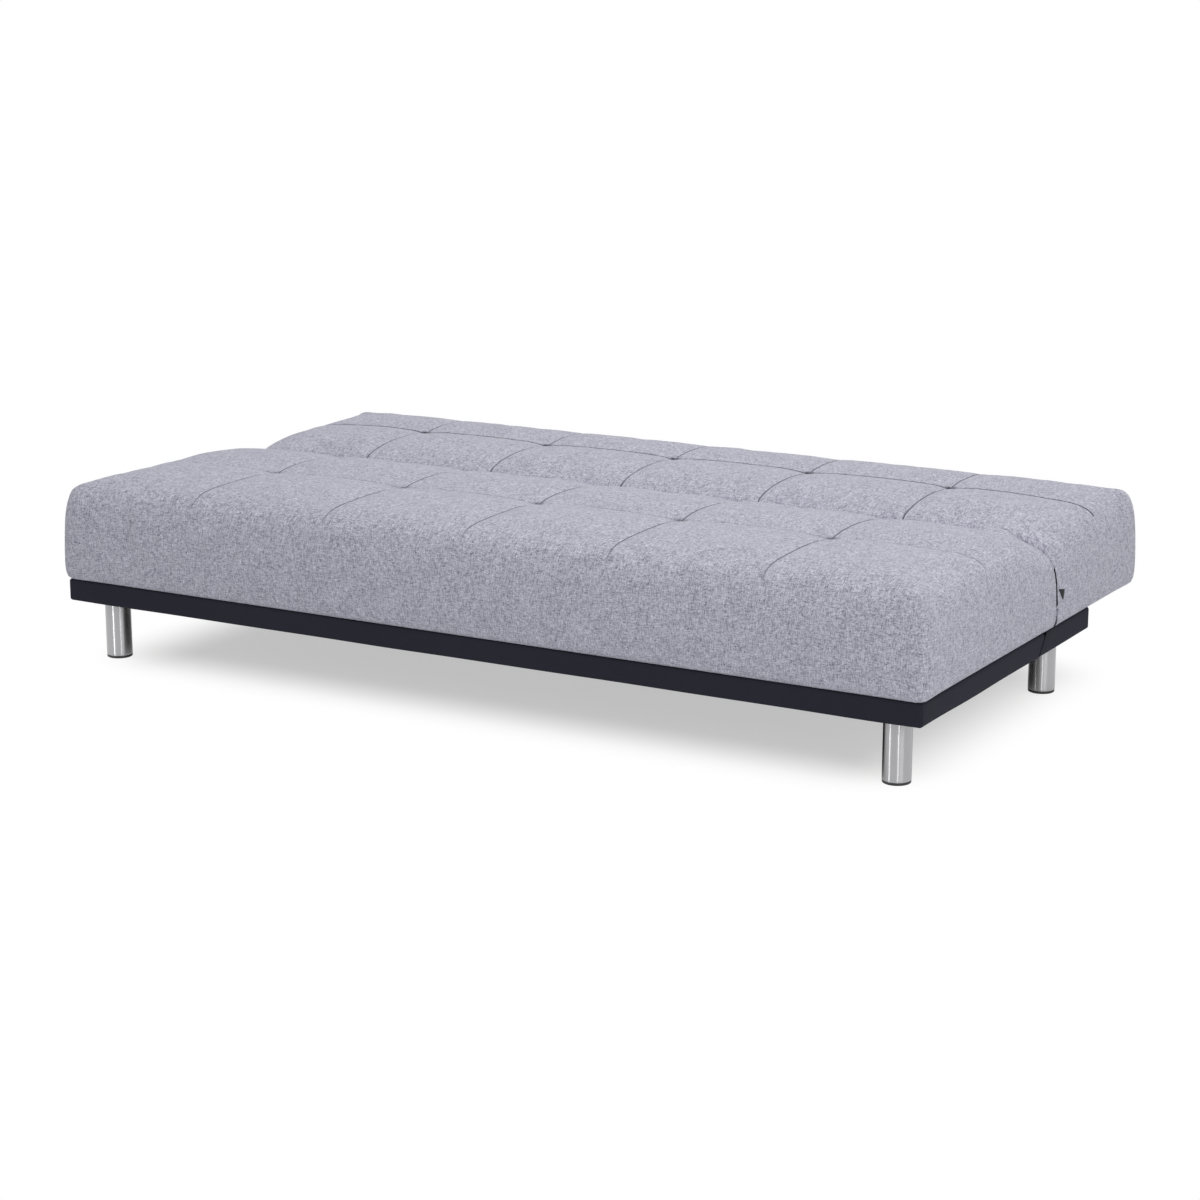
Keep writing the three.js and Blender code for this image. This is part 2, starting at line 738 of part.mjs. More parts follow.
function stationsY(front, rear, tuftRow) {
  const before = halfDepthShares.map((share) => front + share * (tuftRow - front));
  const after = halfDepthShares.map((share) => rear - share * (rear - tuftRow)).reverse();
  return [...before, tuftRow, ...after];
}

// How far a rounded edge has dropped at a distance in from the face.
function roundOff(edge, distance) {
  const short = Math.max(edge.round - distance, 0);
  return edge.round - Math.sqrt(edge.round ** 2 - short ** 2);
}

// The height of the top at a point of the plan.
function topHeight(x, y, cushion) {
  const { front, rear, tuftRow, peak, frontEdge, rearEdge } = cushion;
  const fallAt = (edge, distance) => edge.fall * Math.exp(-(distance - seamInset) / edge.reach);
  const falls = [
    fallAt(openEdge, halfLength - Math.abs(x)),
    fallAt(frontEdge, y - front),
    fallAt(rearEdge, rear - y),
  ];
  const fall = Math.hypot(...falls.map((value) => value * value)) ** 0.5;
  const dx = Math.min(...tuftColumns.map((column) => Math.abs(x - column)));
  const dy = Math.abs(y - tuftRow);
  const seams = crossDip * Math.exp(-dx / crossReach) + longDip * Math.exp(-dy / longReach);
  const tuft = tuftDip * Math.exp(-Math.hypot(dx, dy) / tuftReach);
  return peak - fall - seams - tuft - roundOff(frontEdge, y - front) - roundOff(rearEdge, rear - y);
}

// Moves a point of the square-cornered plan into the round-cornered one, and says which way is out there.
function roundPlan(x, y, front, rear) {
  const innerX = halfLength - cornerRound;
  const middle = (front + rear) / 2;
  const innerY = (rear - front) / 2 - cornerRound;
  const dx = Math.max(Math.abs(x) - innerX, 0);
  const dy = Math.max(Math.abs(y - middle) - innerY, 0);
  const length = Math.hypot(dx, dy);
  if (length === 0) return { x, y, outX: 0, outY: 0 };
  const outX = (Math.sign(x) * dx) / length;
  const outY = (Math.sign(y - middle) * dy) / length;
  if (dx === 0 || dy === 0) return { x, y, outX, outY };
  const reach = Math.max(dx, dy);
  return {
    x: Math.sign(x) * innerX + outX * reach,
    y: middle + Math.sign(y - middle) * innerY + outY * reach,
    outX,
    outY,
  };
}

function cushionBody(cushion) {
  const { front, rear, tuftRow, frontEdge, rearEdge } = cushion;
  const xs = stationsX();
  const ys = stationsY(front, rear, tuftRow);
  const columns = xs.length;
  const points = [];
  const faces = [];
  for (const y of ys) {
    for (const x of xs) {
      const plan = roundPlan(x, y, front, rear);
      points.push([plan.x, plan.y, topHeight(x, y, cushion)]);
    }
  }
  for (let row = 0; row + 1 < ys.length; row += 1) {
    for (let column = 0; column + 1 < columns; column += 1) {
      const a = row * columns + column;
      faces.push([a, a + 1, a + columns + 1], [a, a + columns + 1, a + columns]);
    }
  }
  // The rim of the top, anticlockwise from above, then rows of points down the side.
  const rim = [];
  const lastRow = ys.length - 1;
  for (let column = 0; column < columns - 1; column += 1) rim.push([column, 0]);
  for (let row = 0; row < lastRow; row += 1) rim.push([columns - 1, row]);
  for (let column = columns - 1; column > 0; column -= 1) rim.push([column, lastRow]);
  for (let row = lastRow; row > 0; row -= 1) rim.push([0, row]);
  let above = rim.map(([column, row]) => row * columns + column);
  const rimAbove = above;
  for (const { down, bulge, tuck } of sideShares) {
    const start = points.length;
    rim.forEach(([column, row], i) => {
      const { x, y, outX, outY } = roundPlan(xs[column], ys[row], front, rear);
      const edgeY = outY < 0 ? frontEdge : rearEdge;
      const across = outX * outX;
      const along = outY * outY;
      const swell = across * openEdge.bulge + along * edgeY.bulge;
      const draw = across * openEdge.tuck + along * edgeY.tuck;
      const out = swell * bulge - draw * tuck;
      const rimZ = points[rimAbove[i]][2];
      points.push([x + out * outX, y + out * outY, rimZ + down * (cushionBottom - rimZ)]);
    });
    const below = rim.map((_, i) => start + i);
    above.forEach((a, i) => {
      const next = (i + 1) % above.length;
      faces.push([a, below[i], below[next]], [a, below[next], above[next]]);
    });
    above = below;
  }
  const middle = points.length;
  points.push([0, (front + rear) / 2, cushionBottom]);
  above.forEach((a, i) => faces.push([a, middle, above[(i + 1) % above.length]]));
  const geometry = new THREE.BufferGeometry();
  geometry.setAttribute("position", new THREE.Float32BufferAttribute(points.flat(), 3));
  geometry.setIndex(faces.flat());
  return geometry;
}

// A cover is open below inside its turned-in lip, and hollow where the foam and the frame go.
function cushionCover(cushion) {
  const { hollowX, hollowY, way } = cushion;
  const hollow = block([-hollowX, hollowX], hollowY, [cushionBottom + coverLipThickness, hollowTop(cushion)]);
  const mouthX = hollowX - coverLip;
  const mouthZ = [cushionBottom - overrun, frameTop];
  const mouth = block([-mouthX, mouthX], inset(hollowY, coverLip), mouthZ);
  return cut(cushionBody(cushion), [hollow, mouth, ...hingePockets(way)]);
}

function hollowTop(cushion) {
  return cushion.peak - topDip - underTuft;
}

const foamBottom = zigzagZ + zigzagWire / 2 + fit;

function cushionFoam(cushion) {
  const { hollowX, hollowY, way } = cushion;
  const spanX = inset([-hollowX, hollowX], fit);
  const foam = block(spanX, inset(hollowY, fit), [foamBottom, hollowTop(cushion) - fit]);
  return cut(foam, hingePockets(way));
}

const seatCushion = {
  front: frontFace,
  rear: seatRear,
  tuftRow: (frontFace + seatRear) / 2,
  peak: seatPeak,
  frontEdge: openEdge,
  rearEdge: seatHingeEdge,
  hollowX: seatHollowX,
  hollowY: seatHollowY,
  way: -1,
};
const backCushion = {
  front: backFront,
  rear: rearFace,
  tuftRow: (backFront + rearFace) / 2,
  peak: backPeak,
  frontEdge: backHingeEdge,
  rearEdge: backTopEdge,
  hollowX: backHollowX,
  hollowY: backHollowY,
  way: 1,
};

add("seat_cover", cushionCover(seatCushion), fabric);
add("back_cover", cushionCover(backCushion), fabric);
add("seat_foam", cushionFoam(seatCushion), foamFill);
add("back_foam", cushionFoam(backCushion), foamFill);

// The lining under the back frame, inside the turned-in lip of its cover.
function backLining() {
  const top = frameBottom - fit;
  const spanX = inset([-backHollowX, backHollowX], coverLip + fit);
  return block(spanX, inset(backHollowY, coverLip + fit), [top - liningThickness, top]);
}

add("back_lining", backLining(), lining);

export default sofaBed;
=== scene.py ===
# %% [markdown]
# # A click-clack sofa bed, laid flat
# The real thing is a low timber base wrapped in a black band, four chromed legs, and two upholstered
# cushions: a seat that stays put and a back that swings up on ratchet hinges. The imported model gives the
# exact place of every rigid piece. This lesson dresses it: sewn cushions, woven cloth, metal and light.

import json
import math
from contextlib import contextmanager

import bmesh
import bpy
import numpy as np
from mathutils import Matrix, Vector
from mathutils.bvhtree import BVHTree
from mathutils.interpolate import poly_3d_calc


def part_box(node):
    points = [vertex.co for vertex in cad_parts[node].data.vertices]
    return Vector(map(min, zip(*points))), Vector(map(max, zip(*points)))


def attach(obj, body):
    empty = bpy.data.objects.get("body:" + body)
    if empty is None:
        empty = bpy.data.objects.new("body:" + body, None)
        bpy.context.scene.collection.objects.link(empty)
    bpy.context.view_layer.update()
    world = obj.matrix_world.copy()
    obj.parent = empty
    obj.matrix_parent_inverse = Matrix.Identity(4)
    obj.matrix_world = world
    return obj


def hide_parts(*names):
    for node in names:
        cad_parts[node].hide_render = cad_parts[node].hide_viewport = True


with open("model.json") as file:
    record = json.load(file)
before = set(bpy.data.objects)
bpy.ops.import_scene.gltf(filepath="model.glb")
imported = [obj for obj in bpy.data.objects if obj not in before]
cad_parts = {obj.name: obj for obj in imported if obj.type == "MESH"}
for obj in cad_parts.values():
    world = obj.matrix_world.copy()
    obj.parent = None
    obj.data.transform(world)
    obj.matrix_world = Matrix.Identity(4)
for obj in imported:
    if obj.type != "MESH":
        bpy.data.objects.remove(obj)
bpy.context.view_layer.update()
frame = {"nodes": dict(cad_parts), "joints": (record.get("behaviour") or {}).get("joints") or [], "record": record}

# %% [markdown]
# ## Small helpers
# Every finish below is a node tree written in code. A few helpers keep that short: one fills a socket with
# a value or a link, one makes the two tools that add nodes to a tree, and two start a node group with named
# inputs and outputs or a material. A group's inputs get their kind from their default values.

# %% Helpers for the scene and its nodes
def in_scene(name, data):
    thing = bpy.data.objects.new(name, data)
    bpy.context.scene.collection.objects.link(thing)
    return thing


def fill(socket, value):
    """A node stands for its first output. An output is linked, and anything else becomes the value."""
    if isinstance(value, bpy.types.Node):
        value = value.outputs[0]
    if isinstance(value, bpy.types.NodeSocket):
        socket.id_data.links.new(value, socket)
    else:
        socket.default_value = value


def makers(tree):
    """node adds a node: small names are settings, i0, i1 ... and capital names are its sockets."""

    def node(kind, **given):
        made = tree.nodes.new(kind if "Node" in kind else "ShaderNode" + kind)
        for name, value in given.items():
            if name[0] == "i" and name[1:].isdigit():
                fill(made.inputs[int(name[1:])], value)
            elif name[0].isupper():
                fill(made.inputs[name.replace("_", " ")], value)
            else:
                setattr(made, name, value)
        return made

    def calc(operation, *values, kind="Math"):
        made = node(kind, operation=operation)
        for socket, value in zip(made.inputs, values):
            fill(socket, value)
        return made

    return node, calc


def socket_kind(value):
    """A word names a kind that has no default."""
    if isinstance(value, str):
        return "NodeSocket" + value
    if isinstance(value, tuple):
        return "NodeSocketVector" if len(value) == 3 else "NodeSocketColor"
    return "NodeSocketInt" if isinstance(value, int) else "NodeSocketFloat"


def new_group(name, inputs, outputs, kind="ShaderNodeTree"):
    tree = bpy.data.node_groups.new(name, kind)
    for label, value in inputs.items():
        socket = tree.interface.new_socket(label, in_out="INPUT", socket_type=socket_kind(value))
        if not isinstance(value, str):
            socket.default_value = value
    for label, value in outputs.items():
        tree.interface.new_socket(label, in_out="OUTPUT", socket_type=socket_kind(value))
    return tree, tree.nodes.new("NodeGroupInput").outputs, tree.nodes.new("NodeGroupOutput").inputs


def new_material(name, **principled):
    material = bpy.data.materials.new(name)
    material.use_nodes = True
    shader = material.node_tree.nodes["Principled BSDF"]
    for key, value in principled.items():
        shader.inputs[key.replace("_", " ")].default_value = value
    return material, shader, *makers(material.node_tree)


def colour_and_relief(shader, node, colour, strength, depth, height):
    fill(shader.inputs["Base Color"], colour)
    fill(shader.inputs["Normal"], node("Bump", Strength=strength, Distance=depth, Height=height))


print("helpers ready")

# %% [markdown]
# ## Where the camera stood
# A product photograph like this is taken with a long lens from a little above the seat. The base's long
# straight edges give the camera: their vanishing points fix its turn and its tilt, and the base's width in
# the picture fixes the focal length. The picture is square, 1200 points a side.

# %% Camera
PICTURE = 1200
FOCAL_POINTS = 2765.4
SENSOR = 36.0
CAMERA_PLACE = (2.616, -4.517, 1.382)
CAMERA_TURN, CAMERA_TILT = 30.03, 13.58

camera_data = bpy.data.cameras.new("camera")
camera_data.sensor_width = SENSOR
camera_data.lens = SENSOR * FOCAL_POINTS / PICTURE
camera = in_scene("camera", camera_data)
camera.location = CAMERA_PLACE
camera.rotation_euler = (math.radians(90 - CAMERA_TILT), 0, math.radians(CAMERA_TURN))
bpy.context.scene.camera = camera
print("lens, mm:", round(camera_data.lens, 2))

# %% [markdown]
# ## The grey cloth
# The upholstery is a heathered linen look: light and dark fibres are spun together, so one thread runs
# dark for a centimetre and then light again, and its neighbour does so in its own rhythm. Up close the
# threads cross over and under each other. One node group makes both. Every thread gets a number, and a
# noise is read along it, once for the warp and once for the weft; a product of sines says which of the two
# is on top. It reads a UV map in metres, so the threads follow the cloth round every edge.

# %% Woven cloth group
def make_weave_group():
    tree, given, out = new_group(
        "heathered_weave",
        {
            "Vector": "Vector",
            "Thread Width": 0.0012,
            "Slub Length": 0.010,
            "Cloud Scale": 22.0,
            "Dark": (0.15, 0.15, 0.2, 1),
            "Light": (0.6, 0.6, 0.7, 1),
            "Contrast": 1.0,
        },
        {"Color": "Color", "Height": "Float"},
    )
    node, calc = makers(tree)
    x, y = node("SeparateXYZ", i0=given["Vector"]).outputs[:2]

    def thread_tone(across, along, seed):
        number = calc("FLOOR", calc("DIVIDE", across, given["Thread Width"]))
        place = node(
            "CombineXYZ",
            X=calc("MULTIPLY", number, 3.717),
            Y=calc("DIVIDE", along, given["Slub Length"]),
            Z=calc("MULTIPLY_ADD", number, 1.319, seed),
        )
        return node("TexNoise", i0=place, Scale=1.0, Detail=3.0, Roughness=0.8)

    def blend(share, first, second):
        return node("Mix", data_type="FLOAT", i0=share, i2=first, i3=second)

    weft, warp = thread_tone(y, x, 0.4), thread_tone(x, y, 7.3)
    cloud_place = node("VectorMath", operation="SCALE", i0=given["Vector"], Scale=given["Cloud Scale"])
    clouds = node("TexNoise", i0=cloud_place, Scale=1.0, Detail=2.0)
    pitch = calc("DIVIDE", math.pi, given["Thread Width"])
    wave_x, wave_y = (calc("SINE", calc("MULTIPLY", place, pitch)) for place in (x, y))
    over = calc("MULTIPLY_ADD", calc("MULTIPLY", wave_x, wave_y), 0.5, 0.5)
    even = calc("MULTIPLY", calc("ADD", weft, warp), 0.5)
    centred = calc("SUBTRACT", blend(0.5, blend(over, weft, warp), even), 0.5)
    cloudy = calc("MULTIPLY_ADD", calc("SUBTRACT", clouds, 0.5), 0.12, 0.5)
    level = calc("ADD", calc("MULTIPLY", centred, given["Contrast"]), cloudy)
    colour = node("Mix", data_type="RGBA", clamp_factor=True, i0=level, i6=given["Dark"], i7=given["Light"])
    ridge = blend(over, calc("ABSOLUTE", wave_y), calc("ABSOLUTE", wave_x))
    fill(out["Color"], colour.outputs[2])
    fill(out["Height"], calc("MULTIPLY_ADD", centred, 1.6, ridge))
    return tree


weave_group = make_weave_group()
print("weave group sockets:", [item.name for item in weave_group.interface.items_tree])

# %% [markdown]
# A seam is a thin dark line where the cloth dips out of the light, and that dark line is painted shade. The
# cushion's mesh carries two numbers at every corner: how near the nearest seam is, in seam widths, and how
# strong that seam's painted shade shows. The line is drawn from them in the material, so it stays sharp on a
# coarse mesh. A third number paints shade on the pinched cloth round a tuft.

# %% Grey upholstery material
CLOTH_DARK = (0.10, 0.10, 0.15, 1)
CLOTH_LIGHT = (0.67, 0.67, 0.76, 1)
SEAM_SHADE = (0.022, 0.022, 0.032, 1)
SEAM_LABELS = ("seam_reach", "seam_mark", "pinch_shade")


def make_cloth(name):
    material, shader, node, calc = new_material(
        name, Roughness=0.92, Specular_IOR_Level=0.25, Sheen_Weight=0.12, Sheen_Roughness=0.5
    )
    uv = node("UVMap", uv_map="cloth")
    weave = node("Group", node_tree=weave_group, Vector=uv, Dark=CLOTH_DARK, Light=CLOTH_LIGHT, Contrast=3.3)
    # The seam lines and the shade round the tufts are painted shade: they darken the weave towards SEAM_SHADE.
    reach, mark, pinch_shade = (node("Attribute", attribute_name=label).outputs["Fac"] for label in SEAM_LABELS)
    line = node("MapRange", interpolation_type="SMOOTHSTEP", i0=reach, i1=0.6, i2=1.4, i3=1.0, i4=0.0)
    marked = calc("MAXIMUM", calc("MULTIPLY", line, mark), pinch_shade)
    colour = node("Mix", data_type="RGBA", i0=marked, i6=weave.outputs["Color"], i7=SEAM_SHADE)
    colour_and_relief(shader, node, colour.outputs[2], 0.5, 0.0006, weave.outputs["Height"])
    return material


cloth = make_cloth("grey_heathered_cloth")
print("cloth:", cloth.name)

# %% [markdown]
# ## Black coated cloth, lining, timber, foam, steel and plastic
# The band round the base is a matt coated cloth, almost black with a blue cast, finely grained. Wear and
# dust are shared by many finishes, so a second group makes them once: a fine noise for grain and a coarse
# one for smudges, both also changing the roughness, so that a highlight breaks up as it does on used metal.

# %% Grain and smudge group
def make_grain_group():
    tree, given, out = new_group(
        "grain_and_smudges",
        {
            "Vector": "Vector",
            "Base": (0.5, 0.5, 0.5, 1),
            "Grain Scale": (900.0, 900.0, 900.0),
            "Smudge Scale": 9.0,
            "Colour Change": 0.1,
            "Roughness": 0.5,
            "Roughness Change": 0.1,
        },
        {"Color": "Color", "Roughness": "Float", "Height": "Float"},
    )
    node, calc = makers(tree)
    place = calc("MULTIPLY", given["Vector"], given["Grain Scale"], kind="VectorMath")
    grain = node("TexNoise", i0=place, Scale=1.0, Detail=3.0, Roughness=0.6)
    smudge = node("TexNoise", i0=given["Vector"], Scale=given["Smudge Scale"], Detail=4.0, Roughness=0.55)
    both = calc("SUBTRACT", calc("ADD", grain, smudge), 1.0)
    value = calc("ADD", 1.0, calc("MULTIPLY", both, given["Colour Change"]))
    fill(out["Color"], node("HueSaturation", Value=value, Color=given["Base"]))
    fill(out["Roughness"], calc("MULTIPLY_ADD", both, given["Roughness Change"], given["Roughness"]))
    fill(out["Height"], grain)
    return tree


grain_group = make_grain_group()
print("grain group sockets:", [item.name for item in grain_group.interface.items_tree])

# %% Finishes from the grain group
def make_grained(name, base, grain, smudge, colour, rough, rough_change, bump, depth, **principled):
    material, shader, node, _ = new_material(name, **principled)
    group = node(
        "Group",
        node_tree=grain_group,
        Vector=node("TexCoord").outputs["Object"],
        Base=(*base, 1),
        Grain_Scale=grain if isinstance(grain, tuple) else (grain,) * 3,
        Smudge_Scale=smudge,
        Colour_Change=colour,
        Roughness=rough,
        Roughness_Change=rough_change,
    )
    fill(shader.inputs["Roughness"], group.outputs["Roughness"])
    colour_and_relief(shader, node, group.outputs["Color"], bump, depth, group.outputs["Height"])
    return material


# Colour; grain and smudge scale; change of colour; roughness and its change; bump and its depth.
BLACK_CLOTH = ((0.0155, 0.0155, 0.026), 1400, 7.0, 0.5, 0.75, 0.12, 0.35, 0.0003)
LINING = ((0.014, 0.014, 0.016), 2200, 12.0, 0.8, 0.95, 0.05, 0.6, 0.0003)
# The near-black finish below is painted shade: it is put in the slit between the cushions, in the hinge pockets
# and in the band's joints, where shadow falls.
SHADE_FELT = ((0.0035, 0.0035, 0.0042), 1200, 20.0, 0.5, 1.0, 0.0, 0.5, 0.0004)
FOAM = ((0.74, 0.66, 0.42), 420, 6.0, 0.3, 0.95, 0.05, 0.8, 0.0012)
CHROME = ((0.42, 0.42, 0.43), (900, 900, 12), 14.0, 0.10, 0.30, 0.04, 0.05, 0.00005)
ZINC = ((0.42, 0.43, 0.44), 700, 45.0, 0.35, 0.36, 0.2, 0.15, 0.0002)
SPRING_STEEL = ((0.2, 0.2, 0.21), 900, 60.0, 0.4, 0.42, 0.2, 0.2, 0.0002)
PLASTIC = ((0.012, 0.012, 0.013), 1600, 25.0, 0.3, 0.5, 0.1, 0.25, 0.0002)
THREAD = ((0.085, 0.085, 0.105), 5000, 80.0, 0.4, 0.85, 0.1, 0.3, 0.0001)
STAPLE = ((0.55, 0.55, 0.56), 3000, 80.0, 0.2, 0.3, 0.1, 0.1, 0.0001)

coated = make_grained("black_coated_cloth", *BLACK_CLOTH, Specular_IOR_Level=0.12)
lining = make_grained("thin_black_lining", *LINING)
shade_felt = make_grained("black_painted_shade_felt", *SHADE_FELT, Specular_IOR_Level=0.0)
foam = make_grained("seat_foam", *FOAM)
chrome = make_grained("polished_chrome", *CHROME, Metallic=1.0, Anisotropic=1.0)
chrome_node, _ = makers(chrome.node_tree)
round_the_tube = chrome_node("Tangent", direction_type="UV_MAP", uv_map="turned")
fill(chrome.node_tree.nodes["Principled BSDF"].inputs["Tangent"], round_the_tube)
zinc = make_grained("zinc_plated_steel", *ZINC, Metallic=1.0)
spring_steel = make_grained("dark_spring_steel", *SPRING_STEEL, Metallic=1.0)
plastic = make_grained("black_moulded_plastic", *PLASTIC)
thread = make_grained("dark_grey_thread", *THREAD)
staple_steel = make_grained("staple_steel", *STAPLE, Metallic=1.0)
print("finishes:", [m.name for m in bpy.data.materials if m.use_nodes][:12])

# %% [markdown]
# Softwood is mostly its growth rings. A plank cut along the trunk shows them as long, slightly wavy
# streaks, so the grain coordinate is bent by a slow noise and fed to bands; fine dark pores run along it.

# %% Timber
EARLY_WOOD, LATE_WOOD = (0.56, 0.36, 0.17, 1), (0.72, 0.52, 0.29, 1)


def make_timber():
    material, shader, node, calc = new_material("planed_softwood", Roughness=0.62)
    place = node("TexCoord").outputs["Object"]
    bend = node("TexNoise", i0=place, Scale=3.0, Detail=2.0).outputs["Color"]
    bent = calc("MULTIPLY_ADD", bend, (0.05, 0.05, 0.05), place, kind="VectorMath")
    squeezed = calc("MULTIPLY", bent, (1.0, 9.0, 9.0), kind="VectorMath")
    kind = {"wave_type": "RINGS", "rings_direction": "X"}
    rings = node("TexWave", **kind, i0=squeezed, Scale=14.0, Distortion=2.5, Detail=3.0).outputs["Fac"]
    ramp = node("ValToRGB", i0=rings)
    for stop, colour in zip(ramp.color_ramp.elements, (EARLY_WOOD, LATE_WOOD)):
        stop.color = colour
    colour_and_relief(shader, node, ramp, 0.25, 0.0004, rings)
    return material


timber = make_timber()
print("timber:", timber.name)

# %% [markdown]
# ## Dress the rigid pieces
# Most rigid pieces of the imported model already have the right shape: rails, blocks, hinge arms, pawls and
# bolts. They stay, and only their material changes. The record's slots say which finish each one wears.

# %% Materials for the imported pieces
FINISH = {
    "woven_fabric": cloth,
    "black_band": coated,
    "black_lining": lining,
    "foam": foam,
    "timber": timber,
    "polished_chrome": chrome,
    "zinc_steel": zinc,
    "black_plastic": plastic,
}
slot_of = {part["node"]: part["material_slot"] for part in frame["record"]["subparts"]}
for node_name, piece in frame["nodes"].items():
    is_spring = node_name.endswith("springs") or node_name.startswith("pawl_spring")
    finish = spring_steel if is_spring else FINISH[slot_of[node_name]]
    for material_slot in piece.material_slots:
        material_slot.material = finish
    if not piece.material_slots:
        piece.data.materials.append(finish)
print("dressed pieces:", len(frame["nodes"]))

# %% [markdown]
# ## Sewn cushions
# Each cushion is a box cover pulled over a frame and foam. Its top is cut as twelve panels; where the cross
# seams meet the long seam, the cover is sewn down through the padding, which makes the tufts. The shape
# follows rules, so it is computed: a height for every point of the top, and a side profile that rolls over
# from the top seam, swells a little and turns under at the bottom. Rows and columns of the mesh crowd
# together at the seams, where the cloth bends sharply, and spread out over the panels.

# %% Stations that crowd together where detail is needed
def near(distance, reach, power=1):
    """1 at the place itself, fading with the distance."""
    return np.exp(-((distance / reach) ** power))


def stations(stops, coarse, crowds):
    """Positions from the first stop to the last, with each stop. crowds holds (place, spacing, reach)."""
    placed = [stops[0]]
    for start, end in zip(stops, stops[1:]):
        fine = np.linspace(start, end, 400)
        density = np.full_like(fine, 1 / coarse)
        for place, spacing, reach in crowds:
            crowded = 1 / coarse + (1 / spacing - 1 / coarse) * near(fine - place, reach, 2)
            density = np.maximum(density, crowded)
        run = np.concatenate([[0], np.cumsum((density[1:] + density[:-1]) / 2 * np.diff(fine))])
        count = max(1, int(round(run[-1])))
        placed.extend(np.interp(np.linspace(0, run[-1], count + 1)[1:], run, fine))
    return np.array(placed)


def crowd(places, rules):
    return [(place, *rule) for place in places for rule in rules]


print("example:", stations([0.0, 0.1], 0.02, [(0.05, 0.005, 0.01)]).round(3))

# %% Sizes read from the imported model
seat_low, seat_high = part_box("seat_cover")
band_low, band_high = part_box("base_cover_front")
HALF_LENGTH = band_high.x
FRONT_FACE, REAR_FACE = band_low.y, -band_low.y
BASE_BOTTOM, BASE_TOP = band_low.z, band_high.z
BASE_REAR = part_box("base_cover_rear")[1].y
SEAT_REAR = seat_high.y
BACK_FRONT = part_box("back_cover")[0].y
CUSHION_BOTTOM = seat_low.z
PANEL = 2 * HALF_LENGTH / 6
COLUMNS = [(i + 1) * PANEL - HALF_LENGTH for i in range(5)]
HINGE_Z = next(j for j in frame["joints"] if j["name"] == "back_fold")["pos_m"][2]
print("seat rear, back front, base top:", round(SEAT_REAR, 4), round(BACK_FRONT, 4), round(BASE_TOP, 4))

# %% [markdown]
# The photograph gives the heights. A cross seam's place along the bed is known, so each of its points in the
# picture is one point in space; the long seams and the outline give more. Towards an edge the top falls in
# two parts, a broad one where the foam gives way and a short one where the cover turns to its seam. Open
# edges meet at a corner as the larger of their falls, the falls beside the hinge add up, and the cloth is
# fuller right in an open corner, as in any boxed cushion.

# %% Distances and falls
SEAM_INSET = 0.010
TOP_HALF = HALF_LENGTH - SEAM_INSET
CORNER, HINGE_CORNER = 0.007, 0.0028
HINGE_PAD_X = (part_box("back_hinge_arm_right")[0].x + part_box("seat_hinge_arm_right")[1].x) / 2


def fall_to(gap, terms):
    """Terms hold (fall, reach, power)."""
    gap = np.maximum(gap, 0)
    return sum(fall * near(gap, reach, power) for fall, reach, power in terms)


def edge_gaps(y, cushion):
    """How far inside the edge at the hinge, and how far inside the open edge."""
    gaps = cushion["rear"] - y, y - cushion["front"]
    return gaps if cushion["hinge_at"] > 0 else gaps[::-1]


def corner_gap(x, y, cushion):
    return np.hypot(TOP_HALF - np.abs(x), edge_gaps(y, cushion)[1])


def seam_gaps(x, y, cushion):
    """Distances from the nearest cross seam and from the long seam."""
    return np.min([np.abs(x - c) for c in COLUMNS], axis=0), np.abs(y - cushion["tuft_row"])


print("hinges sit at x, m:", round(HINGE_PAD_X, 4))

# %% Height of a tufted top
HINGE_PAD_DEPTH, CORNER_REACH, SEAM_FADE = 0.03, 0.035, 0.09
HINGE_CORNER_START, HINGE_CORNER_REACH = 0.06, (0.11, 0.12)
CROSS_DIP = [(0.0010, 0.008, 1), (0.0012, 0.04, 1.5)]
LONG_DIP = [(0.6, 0.05, 1.5), (0.4, 0.014, 1)]
CROSS_GROOVE, CROSS_GROOVE_REACH, LONG_GROOVE_REACH = 0.0008, 0.0030, 0.0022


def tufted_height(x, y, cushion):
    hinge_gap, open_gap = edge_gaps(y, cushion)
    hinge_gap, end_gap = np.maximum(hinge_gap, 0), np.maximum(TOP_HALF - np.abs(x), 0)
    from_hinge = np.abs(x) - HINGE_PAD_X
    outer, inner = cushion["pad_reach"]
    pad = near(from_hinge, np.where(from_hinge > 0, outer, inner), 2)
    bend = cushion["hinge_round"]
    short = np.clip(bend - hinge_gap, 0, bend)
    rounding = (bend - np.sqrt(bend**2 - short**2)) * (1 - pad)
    end_fall, open_fall = fall_to(end_gap, cushion["end_fall"]), fall_to(open_gap, cushion["open_fall"])
    fall = (end_fall**4 + open_fall**4) ** 0.25 + fall_to(hinge_gap, cushion["hinge_fall"]) + rounding
    across, deep = HINGE_CORNER_REACH
    beside_hinge = np.exp(-end_gap / across - (hinge_gap / deep) ** 2)
    fall = fall + cushion["hinge_corner"] * np.clip(end_gap / HINGE_CORNER_START, 0, 1) * beside_hinge
    over_hinge = cushion["hinge_pad"] * pad * near(hinge_gap, HINGE_PAD_DEPTH, 2)
    full = cushion["corner_full"] * near(corner_gap(x, y, cushion), CORNER_REACH, 2)
    dx, dy = seam_gaps(x, y, cushion)
    inside = np.clip(np.minimum(hinge_gap, open_gap) / SEAM_FADE, 0, 1) ** 0.7
    cross = inside * fall_to(dx, CROSS_DIP)
    long = np.clip(end_gap / SEAM_FADE, 0, 1) * cushion["long_dip"] * fall_to(dy, LONG_DIP)
    tuft = fall_to(np.hypot(dx, dy), cushion["tuft_dip"])
    groove = CROSS_GROOVE * near(dx, CROSS_GROOVE_REACH, 2) * (0.35 + 0.65 * inside)
    groove = groove + cushion["long_groove"] * near(dy, LONG_GROOVE_REACH, 2)
    return cushion["peak"] - fall + over_hinge + full - cross - long - tuft - groove


print("rules for the top are set")
